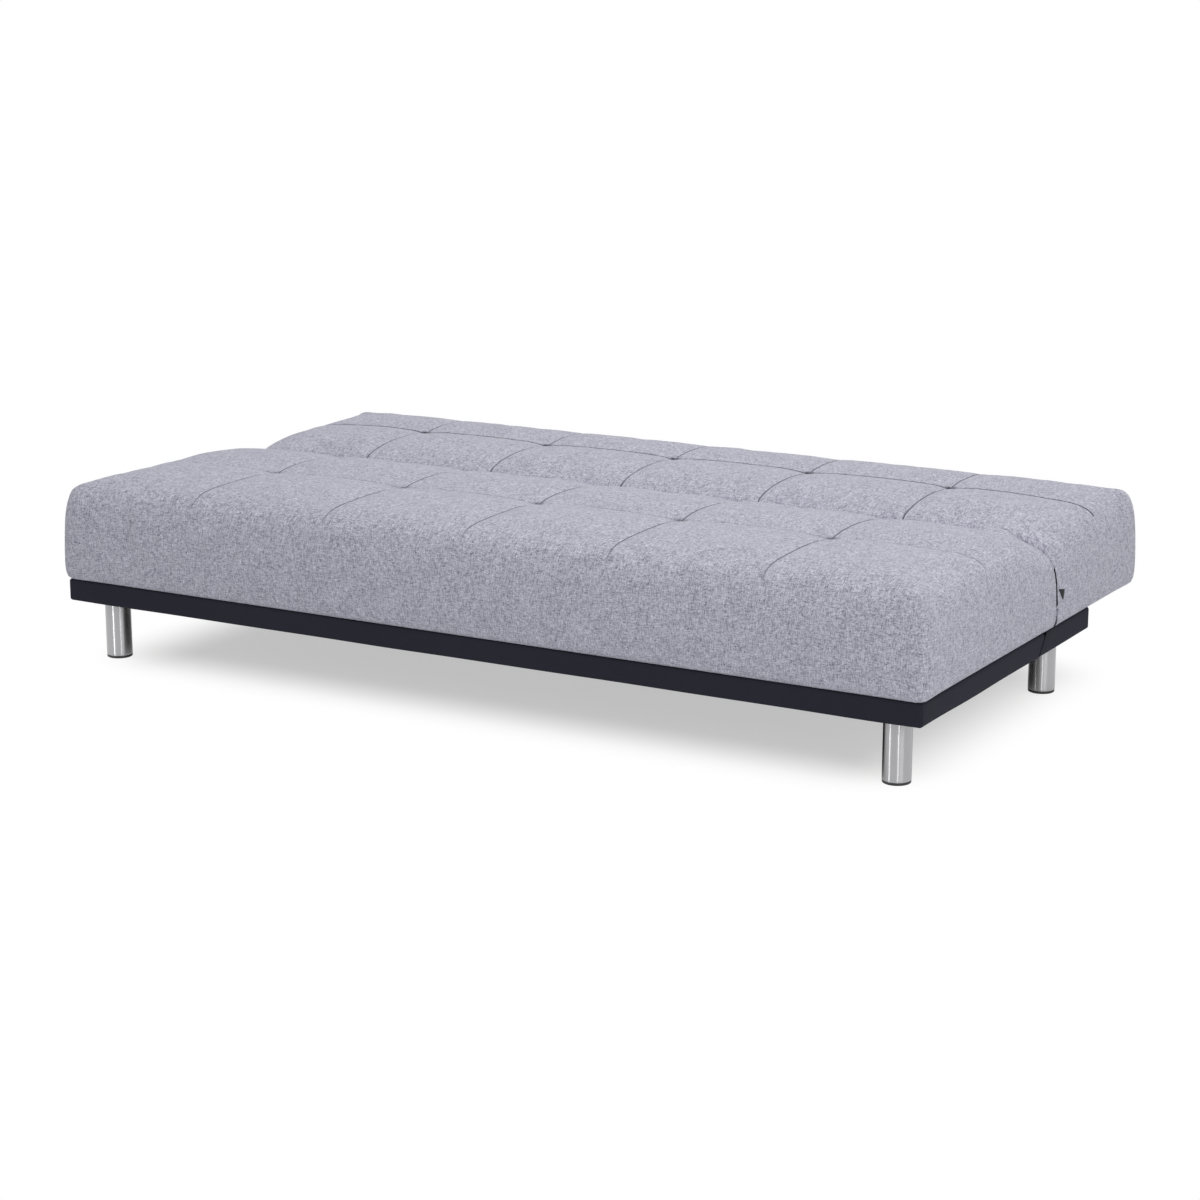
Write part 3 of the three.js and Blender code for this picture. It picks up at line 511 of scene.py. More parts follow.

# %% Numbers for the seams
# The marks of the cross, long and rim seams are painted shade in their grooves.
CROSS_WIDTH, CROSS_MARK = 0.0016, 0.82
RIM_WIDTH, RIM_MARK = 0.0009, 0.04
CROSS_FADE = 0.045
# Painted shade: a dark fold just behind each tuft, where the bulge in front hides it, and a soft halo round it.
PINCH_BEHIND, PINCH_SIZE = 0.0035, (0.010, 0.007)
HALO_SHADE_STRENGTH, HALO_SHADE_SIZE = 0.15, (0.02, 0.014)


def seam_numbers(x, y, cushion):
    """How near the nearest seam is, in its own widths, how strong its painted shade shows, and the painted shade
    of the pinched cloth round a tuft.
    """
    dx, dy = seam_gaps(x, y, cushion)
    hinge_gap, open_gap = edge_gaps(y, cushion)
    rim = np.minimum(TOP_HALF - np.abs(x), np.minimum(hinge_gap, open_gap))
    reach = np.stack([dx / CROSS_WIDTH, dy / cushion["long_width"], np.maximum(rim, 0) / RIM_WIDTH])
    nearest = np.argmin(reach, axis=0)
    strength = np.array([CROSS_MARK, cushion["long_mark"], RIM_MARK])[nearest]
    fade = np.where(nearest == 0, 0.3 + 0.7 * np.clip(open_gap / CROSS_FADE, 0, 1), 1.0)
    # Painted shade, darkest just behind the tuft row and softer in a halo round each tuft.
    pinched = y - cushion["tuft_row"] - PINCH_BEHIND
    pinch_shade = cushion["pinch_shade"] * np.exp(-((dx / PINCH_SIZE[0]) ** 4 + (pinched / PINCH_SIZE[1]) ** 4))
    pinch_shade = pinch_shade + HALO_SHADE_STRENGTH * np.exp(-((dx / HALO_SHADE_SIZE[0]) ** 2 + (dy / HALO_SHADE_SIZE[1]) ** 2))
    return np.min(reach, axis=0), strength * fade, np.clip(pinch_shade, 0, 1)


print("seam numbers ready")

# %% [markdown]
# The side profile is written as pairs: how far out from the top seam, and how far down from the seam to the
# bottom as a share. Open sides swell past the frame and tuck in under the bottom; the two sides that face
# each other across the hinge stay flat; the back's rear side rolls far under, as the photograph shows.

# %% Side profiles
SIDE_DOWNS = (0.0, 0.012, 0.028, 0.05, 0.08, 0.12, 0.17, 0.23, 0.30, 0.38, 0.47, 0.56)
STEEP = 7.6
OPEN_FOOT = [
    (0.0006, 0.65), (0.0009, 0.73), (0.0010, 0.80), (0.0006, 0.865),
    (-0.0006, 0.92), (-0.0035, 0.968), (-0.0095, 0.9965), (-0.022, 1.0),
]
ROLLED_FOOT = [
    (-0.0002, 0.64), (-0.0010, 0.71), (-0.0026, 0.775), (-0.0054, 0.835),
    (-0.0100, 0.89), (-0.0180, 0.942), (-0.0310, 0.988), (-0.046, 1.0),
]
HINGE_SIDE = [
    (0.0, 0.0), (0.0002, 0.014), (0.0004, 0.08), (0.0004, 0.14), (0.0002, 0.2),
    (-0.0003, 0.28), (-0.0010, 0.36), (-0.0018, 0.44), (-0.0020, 0.52), (-0.0016, 0.6),
    (-0.0009, 0.68), (-0.0006, 0.75), (-0.0015, 0.81), (-0.0035, 0.86), (-0.0065, 0.905),
    (-0.0105, 0.942), (-0.0155, 0.972), (-0.021, 0.992), (-0.027, 1.0), (-0.034, 1.0),
]


def open_side(bulge, lean, foot):
    """The side leaves the seam at the slope of the top, swells, and turns under along the foot's pairs."""
    rows = [(bulge * (1 - math.exp(-down * STEEP)) + lean * down, down) for down in SIDE_DOWNS]
    return rows + [(rows[-1][0] + change, down) for change, down in foot]


OPEN_SIDE = open_side(0.0150, 0.006, OPEN_FOOT)
ROLLED_SIDE = open_side(0.0158, 0.003, ROLLED_FOOT)
print("side rows:", len(OPEN_SIDE), len(HINGE_SIDE), len(ROLLED_SIDE))

# %% The two cushions in numbers
CUSHION_NUMBERS = {  # the seat's value, then the back's
    "front": (FRONT_FACE + SEAM_INSET, BACK_FRONT),
    "rear": (SEAT_REAR, REAR_FACE - SEAM_INSET),
    "hinge_at": (1, -1),
    "tuft_row": ((FRONT_FACE + SEAT_REAR) / 2 - 0.0115, (BACK_FRONT + REAR_FACE) / 2 + 0.016),
    "peak": (0.3645, 0.3615),
    "end_fall": ([(0.016, 0.082, 1), (0.0175, 0.016, 1)], [(0.024, 0.075, 1), (0.011, 0.012, 1)]),
    "open_fall": ([(0.0205, 0.060, 1), (0.0145, 0.012, 1)], [(0.017, 0.045, 1), (0.012, 0.010, 1)]),
    "hinge_fall": ([(0.036, 0.090, 1.7)], [(0.030, 0.055, 1.15)]),
    "hinge_corner": (0.012, 0.0),
    "hinge_pad": (0.017, 0.011),
    "pad_reach": ((0.042, 0.045), (0.038, 0.036)),
    "hinge_round": (0.014, 0.018),
    "corner_full": (0.007, 0.010),
    "sides": ((OPEN_SIDE, HINGE_SIDE), (HINGE_SIDE, ROLLED_SIDE)),
    "rails": ({1: "seat_hinge_rail"}, {-1: "back_hinge_rail", 1: "back_top_rail"}),
    "tuft_dip": ([(0.0035, 0.010, 1), (0.0068, 0.048, 1.3)], [(0.0045, 0.010, 1), (0.0055, 0.048, 1.3)]),
    "long_dip": (0.0042, 0.0030),
    "long_groove": (0.0010, 0.0022),
    "long_width": (0.0013, 0.0028),
    "long_mark": (0.55, 0.93),
    # strength of the painted shade at the tufts
    "pinch_shade": (0.5, 1.0),
    "rim_puckers": (1.0, 0.35),
}
seat_cushion, back_cushion = ({key: pair[i] for key, pair in CUSHION_NUMBERS.items()} for i in (0, 1))
print("peaks, m:", seat_cushion["peak"], back_cushion["peak"])

# %% Room for the hinges
pin_low, pin_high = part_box("pawl_pin_right")
POCKET_X = (pin_low.x - 0.001, pin_high.x + 0.001)
POCKET_Z = (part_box("seat_hinge_rail")[1].z, HINGE_Z + 0.009)
POCKET_DEPTH, POCKET_CEILING = 0.094, HINGE_Z - 0.0075
print("pocket across, m:", [round(v, 4) for v in POCKET_X])

# %% Plan and top of a cushion
CORNER_OUT, CORNER_OUT_REACH = 0.002, 0.05
SEAM_CROWD = ((0.0016, 0.006), (0.006, 0.03))
END_CROWD = ((0.005, 0.03), (0.0012, 0.004))
EDGE_CROWD = ((0.005, 0.04),)
HINGE_CROWD = ((0.002, 0.012), (0.001, 0.003))
FINE_ACROSS, FINE_DEEP, COARSE = 0.011, 0.010, 0.015


def round_plan(x, y, cushion):
    front, rear, hinge_at = cushion["front"], cushion["rear"], cushion["hinge_at"]
    middle = (front + rear) / 2
    corner = np.where((y - middle) * hinge_at > 0, HINGE_CORNER, CORNER)
    inner_x, inner_y = TOP_HALF - corner, (rear - front) / 2 - corner
    side_x, side_y = np.sign(x), np.sign(y - middle)
    dx = np.maximum(np.abs(x) - inner_x, 0)
    dy = np.maximum(np.abs(y - middle) - inner_y, 0)
    length = np.maximum(np.hypot(dx, dy), 1e-12)
    out_x, out_y = side_x * dx / length, side_y * dy / length
    in_corner = (dx > 0) & (dy > 0)
    reach = np.maximum(dx, dy)
    new_x = np.where(in_corner, side_x * inner_x + out_x * reach, x)
    new_y = np.where(in_corner, middle + side_y * inner_y + out_y * reach, y)
    full = CORNER_OUT * near(corner_gap(x, y, cushion), CORNER_OUT_REACH, 2)
    return new_x + side_x * full, new_y - hinge_at * full, out_x, out_y


def cushion_top(cushion, fine=True):
    front, rear, row = cushion["front"], cushion["rear"], cushion["tuft_row"]
    ends, edges = (-TOP_HALF, TOP_HALF), (front, rear)
    if fine:
        stops = sorted({*ends, *COLUMNS, *POCKET_X, *[-v for v in POCKET_X]})
        xs = stations(stops, FINE_ACROSS, crowd(COLUMNS, SEAM_CROWD) + crowd(ends, END_CROWD))
        hinge_edge = rear if cushion["hinge_at"] > 0 else front
        crowds = crowd(edges, EDGE_CROWD) + crowd([row], SEAM_CROWD) + crowd([hinge_edge], HINGE_CROWD)
        ys = stations([front, row, rear], FINE_DEEP, crowds)
    else:
        xs = stations([-TOP_HALF, *COLUMNS, TOP_HALF], COARSE, [])
        ys = stations([front, row, rear], COARSE, [])
    grid_x, grid_y = np.meshgrid(xs, ys)
    plan_x, plan_y, _, _ = round_plan(grid_x, grid_y, cushion)
    return grid_x, grid_y, np.stack([plan_x, plan_y, tufted_height(grid_x, grid_y, cushion)], -1)


_, _, top = cushion_top(seat_cushion)
print("seat top grid:", top.shape[:2], "highest point, m:", round(float(top[..., 2].max()), 4))

# %% Keep the turned-in edges outside the frame
FRAME_SKIN, RAIL_END_REACH, RAIL_END_FADE = 0.0013, 0.0045, 0.004


def clear_frame(ring, out_y, cushion):
    """The cloth rolls under freely at the ends, and along the frame it has to pass round the rail."""
    for side, rail in cushion["rails"].items():
        low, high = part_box(rail)
        limit = (high.y if side > 0 else low.y) + side * FRAME_SKIN
        over = np.clip((high.x + RAIL_END_REACH - np.abs(ring[:, 0])) / RAIL_END_FADE, 0, 1)
        facing = (out_y * side > 0.5) & (ring[:, 2] < high.z) & (ring[:, 2] > low.z - FRAME_SKIN)
        short = np.maximum((limit - ring[:, 1]) * side, 0) * facing * over
        ring[:, 1] += short * side
    return ring


print("rails to pass:", *seat_cushion["rails"].values(), *back_cushion["rails"].values())

# %% [markdown]
# The mesh is a grid for the top and rings of points below its rim, one for each pair of the side profile.
# The cloth's coordinates run on over the rim: along it they count the metres round the cushion, down the
# side they follow the height, and under the foot they follow the way the cloth travels inward.

# %% Stitch the arrays into a mesh with cloth coordinates
WIDEST_ROW, TURNS_UNDER = 9, 0.6
COARSE_ROWS = [0, 3, 5, 7, 9, 11, 13, 15, 16, 17, 18, 19]
HEM, HEM_STEP, HEM_LIFT = 0.022, 0.001, 0.0030
NO_SEAM = [99.0, 0.0, 0.0]


def grid_quads(index):
    return np.stack([index[:-1, :-1], index[:-1, 1:], index[1:, 1:], index[1:, :-1]], -1).reshape(-1, 4)


def grid_rim(index):
    return np.concatenate([index[0, :-1], index[:-1, -1], index[-1, :0:-1], index[:0:-1, 0]])


def ring_quads(above, below):
    return np.stack([above, below, np.roll(below, -1), np.roll(above, -1)], -1)


def cushion_mesh(name, cushion, fine=True):
    grid_x, grid_y, top = cushion_top(cushion, fine)
    index = np.arange(grid_x.size).reshape(grid_x.shape)
    points, quads = [top.reshape(-1, 3)], [grid_quads(index)]
    numbers = [np.stack(seam_numbers(grid_x, grid_y, cushion), -1).reshape(-1, 3)]
    uvs = [points[0][quads[0]][..., :2]]
    rim = grid_rim(index)
    px, py, out_x, out_y = round_plan(grid_x.reshape(-1)[rim], grid_y.reshape(-1)[rim], cushion)
    rim_z, lowest, count = points[0][rim, 2], CUSHION_BOTTOM, len(rim)
    ends = np.array(OPEN_SIDE)
    edge = np.where((out_y < 0)[:, None, None], *[np.array(rows)[None] for rows in cushion["sides"]])
    side = out_x[:, None, None] ** 2 * ends[None] + out_y[:, None, None] ** 2 * edge

    def ring_plan(j):
        return px + ends[j, 0] * out_x, py + edge[:, j, 0] * out_y

    def add_ring(above, ring, ring_numbers):
        below = sum(len(block) for block in points) + np.arange(count)
        points.append(ring)
        numbers.append(ring_numbers)
        quads.append(ring_quads(above, below))
        return below

    wide = np.stack(ring_plan(WIDEST_ROW), -1)
    around = np.concatenate([[0], np.cumsum(np.hypot(*np.diff(wide, axis=0, append=wide[:1]).T))])
    above, ring, slide = rim, np.stack([px, py, rim_z], -1), np.zeros(count)
    for j in (range(side.shape[1]) if fine else COARSE_ROWS)[1:]:
        out, down = side[:, j, 0], side[:, j, 1]
        last, before = ring, ring[:, 2] - slide
        ring = clear_frame(np.stack([*ring_plan(j), rim_z + down * (lowest - rim_z)], -1), out_y, cushion)
        depth = np.hypot(out, down * (rim_z - lowest))
        # The rim seam's painted shade runs on down the side, fading with the depth.
        rim_numbers = np.stack([depth / RIM_WIDTH, np.full(count, RIM_MARK), np.zeros(count)], -1)
        above = add_ring(above, ring, rim_numbers)
        if side[0, j, 1] > TURNS_UNDER:
            slide = slide + np.hypot(*(ring - last)[:, :2].T)
        after = ring[:, 2] - slide
        along = (around[:-1], around[:-1], around[1:], around[1:])
        down_the_side = (before, after, np.roll(after, -1), np.roll(before, -1))
        uvs.append(np.stack([np.stack(pair, -1) for pair in zip(along, down_the_side)], 1))
    # Under the turned-in hem the cover steps up and closes above the lining.
    for shrink, z in ((HEM, lowest), (HEM + HEM_STEP, lowest + HEM_LIFT)):
        hem = np.stack([ring[:, 0] - shrink * out_x, ring[:, 1] - shrink * out_y, np.full(count, z)], -1)
        above = add_ring(above, hem, np.tile(NO_SEAM, (count, 1)))
        uvs.append(np.concatenate(points)[quads[-1]][..., :2])
    points = np.concatenate(points)
    mesh = bpy.data.meshes.new(name)
    mesh.from_pydata(points.tolist(), [], np.concatenate(quads).tolist() + [above.tolist()])
    flat = np.concatenate([np.concatenate(uvs).reshape(-1, 2), points[above][:, :2]])
    mesh.uv_layers.new(name="cloth").data.foreach_set("uv", flat.reshape(-1).astype(np.float32))
    for label, column in zip(SEAM_LABELS, np.concatenate(numbers).T):
        mesh.attributes.new(label, "FLOAT", "POINT").data.foreach_set("value", column.astype(np.float32))
    mesh.validate()
    return in_scene(name, mesh)


seat = cushion_mesh("seat_cushion", seat_cushion)
back = cushion_mesh("back_cushion", back_cushion)
print("faces:", len(seat.data.polygons), len(back.data.polygons))

# %% [markdown]
# The rules give a perfect cushion, and no sewn cover is perfect. A coarser copy is blown up as cloth: it is
# held at the seams, the tufts and the hem, and the cloth between them is cut a little too large, so it
# settles with small puckers. Only that movement is kept, capped at a few millimetres and without the even
# swelling, and it is carried over to the fine mesh. So the size still comes from the rules.

# %% Blow a coarse copy up as cloth
SETTLE_FRAMES = 20
TOP_FROM, HEM_HEIGHT = 0.285, 0.014
CLOTH_RULES = {
    "quality": 5,
    "mass": 0.25,
    "tension_stiffness": 25,
    "compression_stiffness": 25,
    "shear_stiffness": 8,
    "bending_stiffness": 0.35,
    "use_pressure": True,
    "uniform_pressure_force": 4,
    "shrink_min": -0.012,
    "vertex_group_mass": "held",
    "pin_stiffness": 6,
}


def read_points(mesh):
    points = np.empty(len(mesh.vertices) * 3, np.float32)
    mesh.vertices.foreach_get("co", points)
    return points.reshape(-1, 3).astype(np.float64)


def write_points(mesh, points):
    mesh.vertices.foreach_set("co", points.astype(np.float32).reshape(-1))


def settle(name, cushion):
    copy = cushion_mesh(name, cushion, fine=False)
    start = read_points(copy.data)
    x, y, z = start.T
    dx, dy = seam_gaps(x, y, cushion)
    on_top = z > TOP_FROM
    hold = np.zeros(len(start))
    for place, strength in (
        (on_top & (dx < 0.004), 0.55),
        (on_top & (dy < 0.004), 0.45),
        (on_top & (np.hypot(dx, dy) < 0.018), 1.0),
        (z < CUSHION_BOTTOM + HEM_HEIGHT, 1.0),
        (corner_gap(x, y, cushion) < 0.03, 0.8),
        (np.abs(edge_gaps(y, cushion)[0]) < 0.012, 1.0),
    ):
        hold[place] = strength
    noise = np.random.default_rng(7).normal(0, 0.0006, start.shape) * (1 - hold)[:, None]
    write_points(copy.data, start + noise)
    group = copy.vertex_groups.new(name="held")
    for i in np.nonzero(hold > 0)[0]:
        group.add([int(i)], float(hold[i]), "REPLACE")
    modifier = copy.modifiers.new("settle", "CLOTH")
    for key, value in CLOTH_RULES.items():
        setattr(modifier.settings, key, value)
    modifier.settings.effector_weights.gravity = 0
    modifier.point_cache.frame_start, modifier.point_cache.frame_end = 1, SETTLE_FRAMES
    for step in range(1, SETTLE_FRAMES + 1):
        bpy.context.scene.frame_set(step)
    settled = copy.evaluated_get(bpy.context.evaluated_depsgraph_get())
    moved = read_points(settled.data) - start
    copy.modifiers.remove(modifier)
    bpy.context.scene.frame_set(1)
    return copy, start, moved, hold


print("the cloth settles over", SETTLE_FRAMES, "frames")

# %% Carry the puckers over to the fine mesh
CAP = 0.004
EVEN_ROUNDS = 60
RIM_CALM = 0.07


def smoothed(values, edges, rounds):
    count = len(values)
    neighbours = np.bincount(edges.ravel(), minlength=count)[:, None]
    for _ in range(rounds):
        total = np.zeros_like(values)
        for axis in range(values.shape[1]):
            total[:, axis] += np.bincount(edges[:, 0], values[edges[:, 1], axis], count)
            total[:, axis] += np.bincount(edges[:, 1], values[edges[:, 0], axis], count)
        values = 0.5 * values + 0.5 * total / neighbours
    return values


def carry_puckers(piece, name, cushion):
    copy, start, moved, hold = settle(name, cushion)
    coarse = copy.data
    edges = np.empty(len(coarse.edges) * 2, np.int32)
    coarse.edges.foreach_get("vertices", edges)
    edges = edges.reshape(-1, 2)
    free = np.clip(1 - hold, 0, 1)[:, None]
    puckers = (moved - smoothed(moved, edges, EVEN_ROUNDS)) * free
    size = np.linalg.norm(puckers, axis=1, keepdims=True)
    puckers *= np.tanh(size / CAP) * CAP / np.maximum(size, 1e-9)
    puckers = smoothed(puckers, edges, 1)
    from_rim = np.clip((cushion["rear"] - start[:, 1:2]) / RIM_CALM, 0, 1)
    puckers *= cushion["rim_puckers"] + (1 - cushion["rim_puckers"]) * from_rim
    polygons = [p.vertices[:] for p in coarse.polygons]
    tree = BVHTree.FromPolygons(start.tolist(), polygons)
    points = read_points(piece.data)
    for i, point in enumerate(points):
        corners = polygons[tree.find_nearest(point)[2]]
        if len(corners) > 4:
            continue
        weights = poly_3d_calc([Vector(start[c]) for c in corners], Vector(point))
        points[i] = point + sum(w * puckers[c] for w, c in zip(weights, corners))
    write_points(piece.data, points)
    bpy.data.objects.remove(copy)
    bpy.data.meshes.remove(coarse)
    return np.linalg.norm(puckers, axis=1) * 1000


for piece, cushion in ((seat, seat_cushion), (back, back_cushion)):
    kept = carry_puckers(piece, piece.name + "_settling", cushion)
    print(piece.name, "puckers, mean and most, mm:", round(kept.mean(), 2), round(kept.max(), 2))

# %% [markdown]
# Where the two cushions face each other, the slit between them lies in shadow, and that shade is painted:
# below the cloth's turned edge those sides get a near-black finish. The hinge arms need room to swing there,
# so a pocket is pushed into each side, round every arm, and its inside gets the same painted shade. Its
# ceiling comes down inward, so that plenty of padding stays above the arm.

# %% Push the hinge pockets into the facing sides
# Heights of the painted shade on the facing sides; near the ends it covers only the dark part of the slit.
SHADE_FELT_LOW, SHADE_FELT_LOW_AT_ENDS, SHADE_FELT_HIGH = CUSHION_BOTTOM + 0.012, 0.2045, 0.2665
SHADE_FELT_END_WIDTH = 0.016
FACING_REACH, CLOTH_ABOVE = 0.0035, 0.002


@contextmanager
def editing(mesh):
    edit = bmesh.new()
    edit.from_mesh(mesh)
    yield edit
    edit.to_mesh(mesh)
    edit.free()


def push_pocket(edit, sign, edge, cushion):
    chosen = []
    for face in edit.faces:
        c = face.calc_center_median()
        across = POCKET_X[0] < sign * c.x < POCKET_X[1]
        if not across or abs(c.y - edge) > FACING_REACH or abs(face.normal.y) < 0.8:
            continue
        rim = float(tufted_height(np.array(c.x), np.array(edge), cushion))
        if POCKET_Z[0] < c.z < min(POCKET_Z[1], rim - CLOTH_ABOVE):
            chosen.append(face)
    grown = bmesh.ops.extrude_face_region(edit, geom=chosen)
    bmesh.ops.delete(edit, geom=chosen, context="FACES")
    moved = [g for g in grown["geom"] if isinstance(g, bmesh.types.BMVert)]
    floor_z, mouth_z = min(v.co.z for v in moved), max(v.co.z for v in moved)
    slope = (POCKET_CEILING - floor_z) / (mouth_z - floor_z)
    for vert in moved:
        vert.co.y = edge - cushion["hinge_at"] * POCKET_DEPTH
        vert.co.z = floor_z + (vert.co.z - floor_z) * slope
    # The pocket's inside gets the near-black finish, painted shade.
    for face in {f for v in moved for f in v.link_faces}:
        face.material_index = 1


def paint_shade_on_facing_side(mesh, cushion):
    """The two sides that face each other get a near-black finish, painted shade, below the cloth's turned edge."""
    for face in mesh.polygons:
        low = SHADE_FELT_LOW_AT_ENDS if abs(face.center.x) > HALF_LENGTH - SHADE_FELT_END_WIDTH else SHADE_FELT_LOW
        if face.normal.y * cushion["hinge_at"] > 0.7 and low < face.center.z < SHADE_FELT_HIGH:
            face.material_index = 1


for piece, cushion, edge in ((seat, seat_cushion, SEAT_REAR), (back, back_cushion, BACK_FRONT)):
    piece.data.materials.append(cloth)
    piece.data.materials.append(shade_felt)
    with editing(piece.data) as edit:
        bmesh.ops.recalc_face_normals(edit, faces=edit.faces)
        for sign in (-1, 1):
            push_pocket(edit, sign, edge, cushion)
    paint_shade_on_facing_side(piece.data, cushion)
    piece.data.shade_smooth()
print("felt faces:", sum(p.material_index == 1 for p in seat.data.polygons), "of", len(seat.data.polygons))

# %% [markdown]
# Beside the slit between the cushions the photograph shows one small dark triangle. Here it is a thin closed
# patch of black lining that lies on the end of the back cushion, found by looking along the bed, and it
# stands up a little in the middle.

# %% A small fold on the right end
FOLD_LEFT = np.array([(0.0870, 0.2325), (0.1040, 0.2105)])
FOLD_RIGHT = np.array([(0.1150, 0.2275), (0.1080, 0.2095)])
FOLD_ROWS, FOLD_COLUMNS = 9, 8
FOLD_OUT, FOLD_RISE, FOLD_IN = 0.0003, 0.0012, 0.0020


def finished(name, mesh, materials, sharp=None):
    """Puts the mesh in the scene, smooth, or sharp at the edges that bend by more than the angle."""
    for material in materials:
        mesh.materials.append(material)
    mesh.shade_smooth()
    if sharp:
        mesh.set_sharp_from_angle(angle=math.radians(sharp))
    return in_scene(name, mesh)


def end_fold(cushion_piece):
    surface = BVHTree.FromObject(cushion_piece, bpy.context.evaluated_depsgraph_get())
    outer, inner = [], []
    for t in (i / (FOLD_ROWS - 1) for i in range(FOLD_ROWS)):
        for s in (j / (FOLD_COLUMNS - 1) for j in range(FOLD_COLUMNS)):
            left, right = ((1 - t) * side[0] + t * side[1] for side in (FOLD_LEFT, FOLD_RIGHT))
            y, z = (1 - s) * left + s * right
            x = surface.ray_cast(Vector((2.0, y, z)), Vector((-1, 0, 0)))[0].x
            outer.append((x + FOLD_OUT + FOLD_RISE * math.sin(math.pi * s) * (1 - 0.6 * t), y, z))
            inner.append((x - FOLD_IN, y, z))
    count = len(outer)
    index = np.arange(count).reshape(FOLD_ROWS, FOLD_COLUMNS)
    flat, rim = grid_quads(index), grid_rim(index)
    following = np.roll(rim, -1)
    faces = np.stack([flat[:, [0, 3, 2, 1]], count + flat], 1).reshape(-1, 4)
    edges = np.stack([rim, following, count + following, count + rim], -1)
    mesh = bpy.data.meshes.new("end_fold")
    mesh.from_pydata(outer + inner, [], faces.tolist() + edges.tolist())
    with editing(mesh) as edit:
        bmesh.ops.recalc_face_normals(edit, faces=edit.faces)
    piece = finished("end_fold", mesh, [lining])
    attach(piece, "back")
    return piece


fold = end_fold(back)
print("fold faces:", len(fold.data.polygons))

# %% Hand the cushions over
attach(seat, "base")
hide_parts("seat_cover", "seat_foam")
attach(back, "back")
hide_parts("back_cover", "back_foam")
print("cushions ride on their bodies")

# %% [markdown]
# ## The band round the base
# Two strips of coated cloth are pulled over the base frame and stapled out of sight: one round the front,
# one round the rear. They meet on each end in a slanted joint. Each is swept in mesh code: a C-shaped
# section with soft edges follows a U-shaped path, and its end rings are pushed along to lie on the slant.
# A strip pulled by hand is never dead straight, so its faces wander by a fraction of a millimetre.

# %% Band section
LIP, SKIN, EDGE_ROUND = 0.022, 0.0019, 0.0055


def band_section():
    """Pairs of (inset from the outer face, height), going round the closed C."""
    low, high, r = BASE_BOTTOM, BASE_TOP, EDGE_ROUND

    def corner(height, start):
        turns = np.radians(start + np.linspace(0, 90, 6))[::-1]
        return [(r + r * math.cos(t), height + r * math.sin(t)) for t in turns]

    outer = [(LIP, low), *corner(low + r, 180)]
    outer += [(0.0, low + (high - low) * t) for t in (0.25, 0.5, 0.75)]
    outer += [*corner(high - r, 90), (LIP, high)]
    inner = [(LIP, high - SKIN), (r, high - SKIN), (SKIN, high - r)]
    inner += [(SKIN, low + r), (r, low + SKIN), (LIP, low + SKIN)]
    return np.array(outer + inner)


section = band_section()
print("section points:", len(section))

# %% Sweep one strip round three sides
JOINT_GAP, JOINT_LOW, JOINT_HIGH = 0.0090, 0.020, 0.055
STRAIGHT_ROWS, TURN_ROWS, LONG_ROWS = 34, 8, 150
LAP, LAP_SUNK = (0.030, 0.002, 0.0004), 0.0006
FACE_WAVE, FACE_WANDER = 0.11, 0.00028
EDGE_WAVE, EDGE_WANDER = 0.16, 0.00035
LONGEST = 4.6  # more than the way along a strip
JOINT_REACH = 0.012
# A strip's corner bend, the height and depth of its curled end, and its step outward at the joint.
FRONT_STRIP = (0.0055, 0.013, 0.013, 0.0005)
REAR_STRIP = (0.0065, 0.005, 0.004, -0.0006)


def waver(length_along, wave, size, seed):
    knots = np.random.default_rng(seed).normal(0, size, int(LONGEST / wave) + 8)
    place = length_along / wave
    base = np.floor(place).astype(int)
    t = place - base
    t = t * t * (3 - 2 * t)
    return knots[base % len(knots)] * (1 - t) + knots[(base + 1) % len(knots)] * t


def strip_path(face, bend, towards, lap):
    """Rows of x, y and the outward direction, from one joint round to the other."""
    turn, half = face - towards * bend, HALF_LENGTH
    joint = (JOINT_LOW + JOINT_HIGH) / 2
    rows = [*(joint - reach for reach in lap), *np.linspace(joint, turn, STRAIGHT_ROWS)]
    side = [(-half, y, -1.0, 0.0) for y in rows]
    for t in np.radians(np.linspace(0, 90, TURN_ROWS))[1:]:
        x, y = -half + bend * (1 - math.cos(t)), turn + towards * bend * math.sin(t)
        side.append((x, y, -math.cos(t), towards * math.sin(t)))
    long = [(x, face, 0.0, float(towards)) for x in np.linspace(-half + bend, half - bend, LONG_ROWS)[1:-1]]
    other = [(-x, y, -out_x, out_y) for x, y, out_x, out_y in side[::-1]]
    return np.array(side + long + other), turn, joint


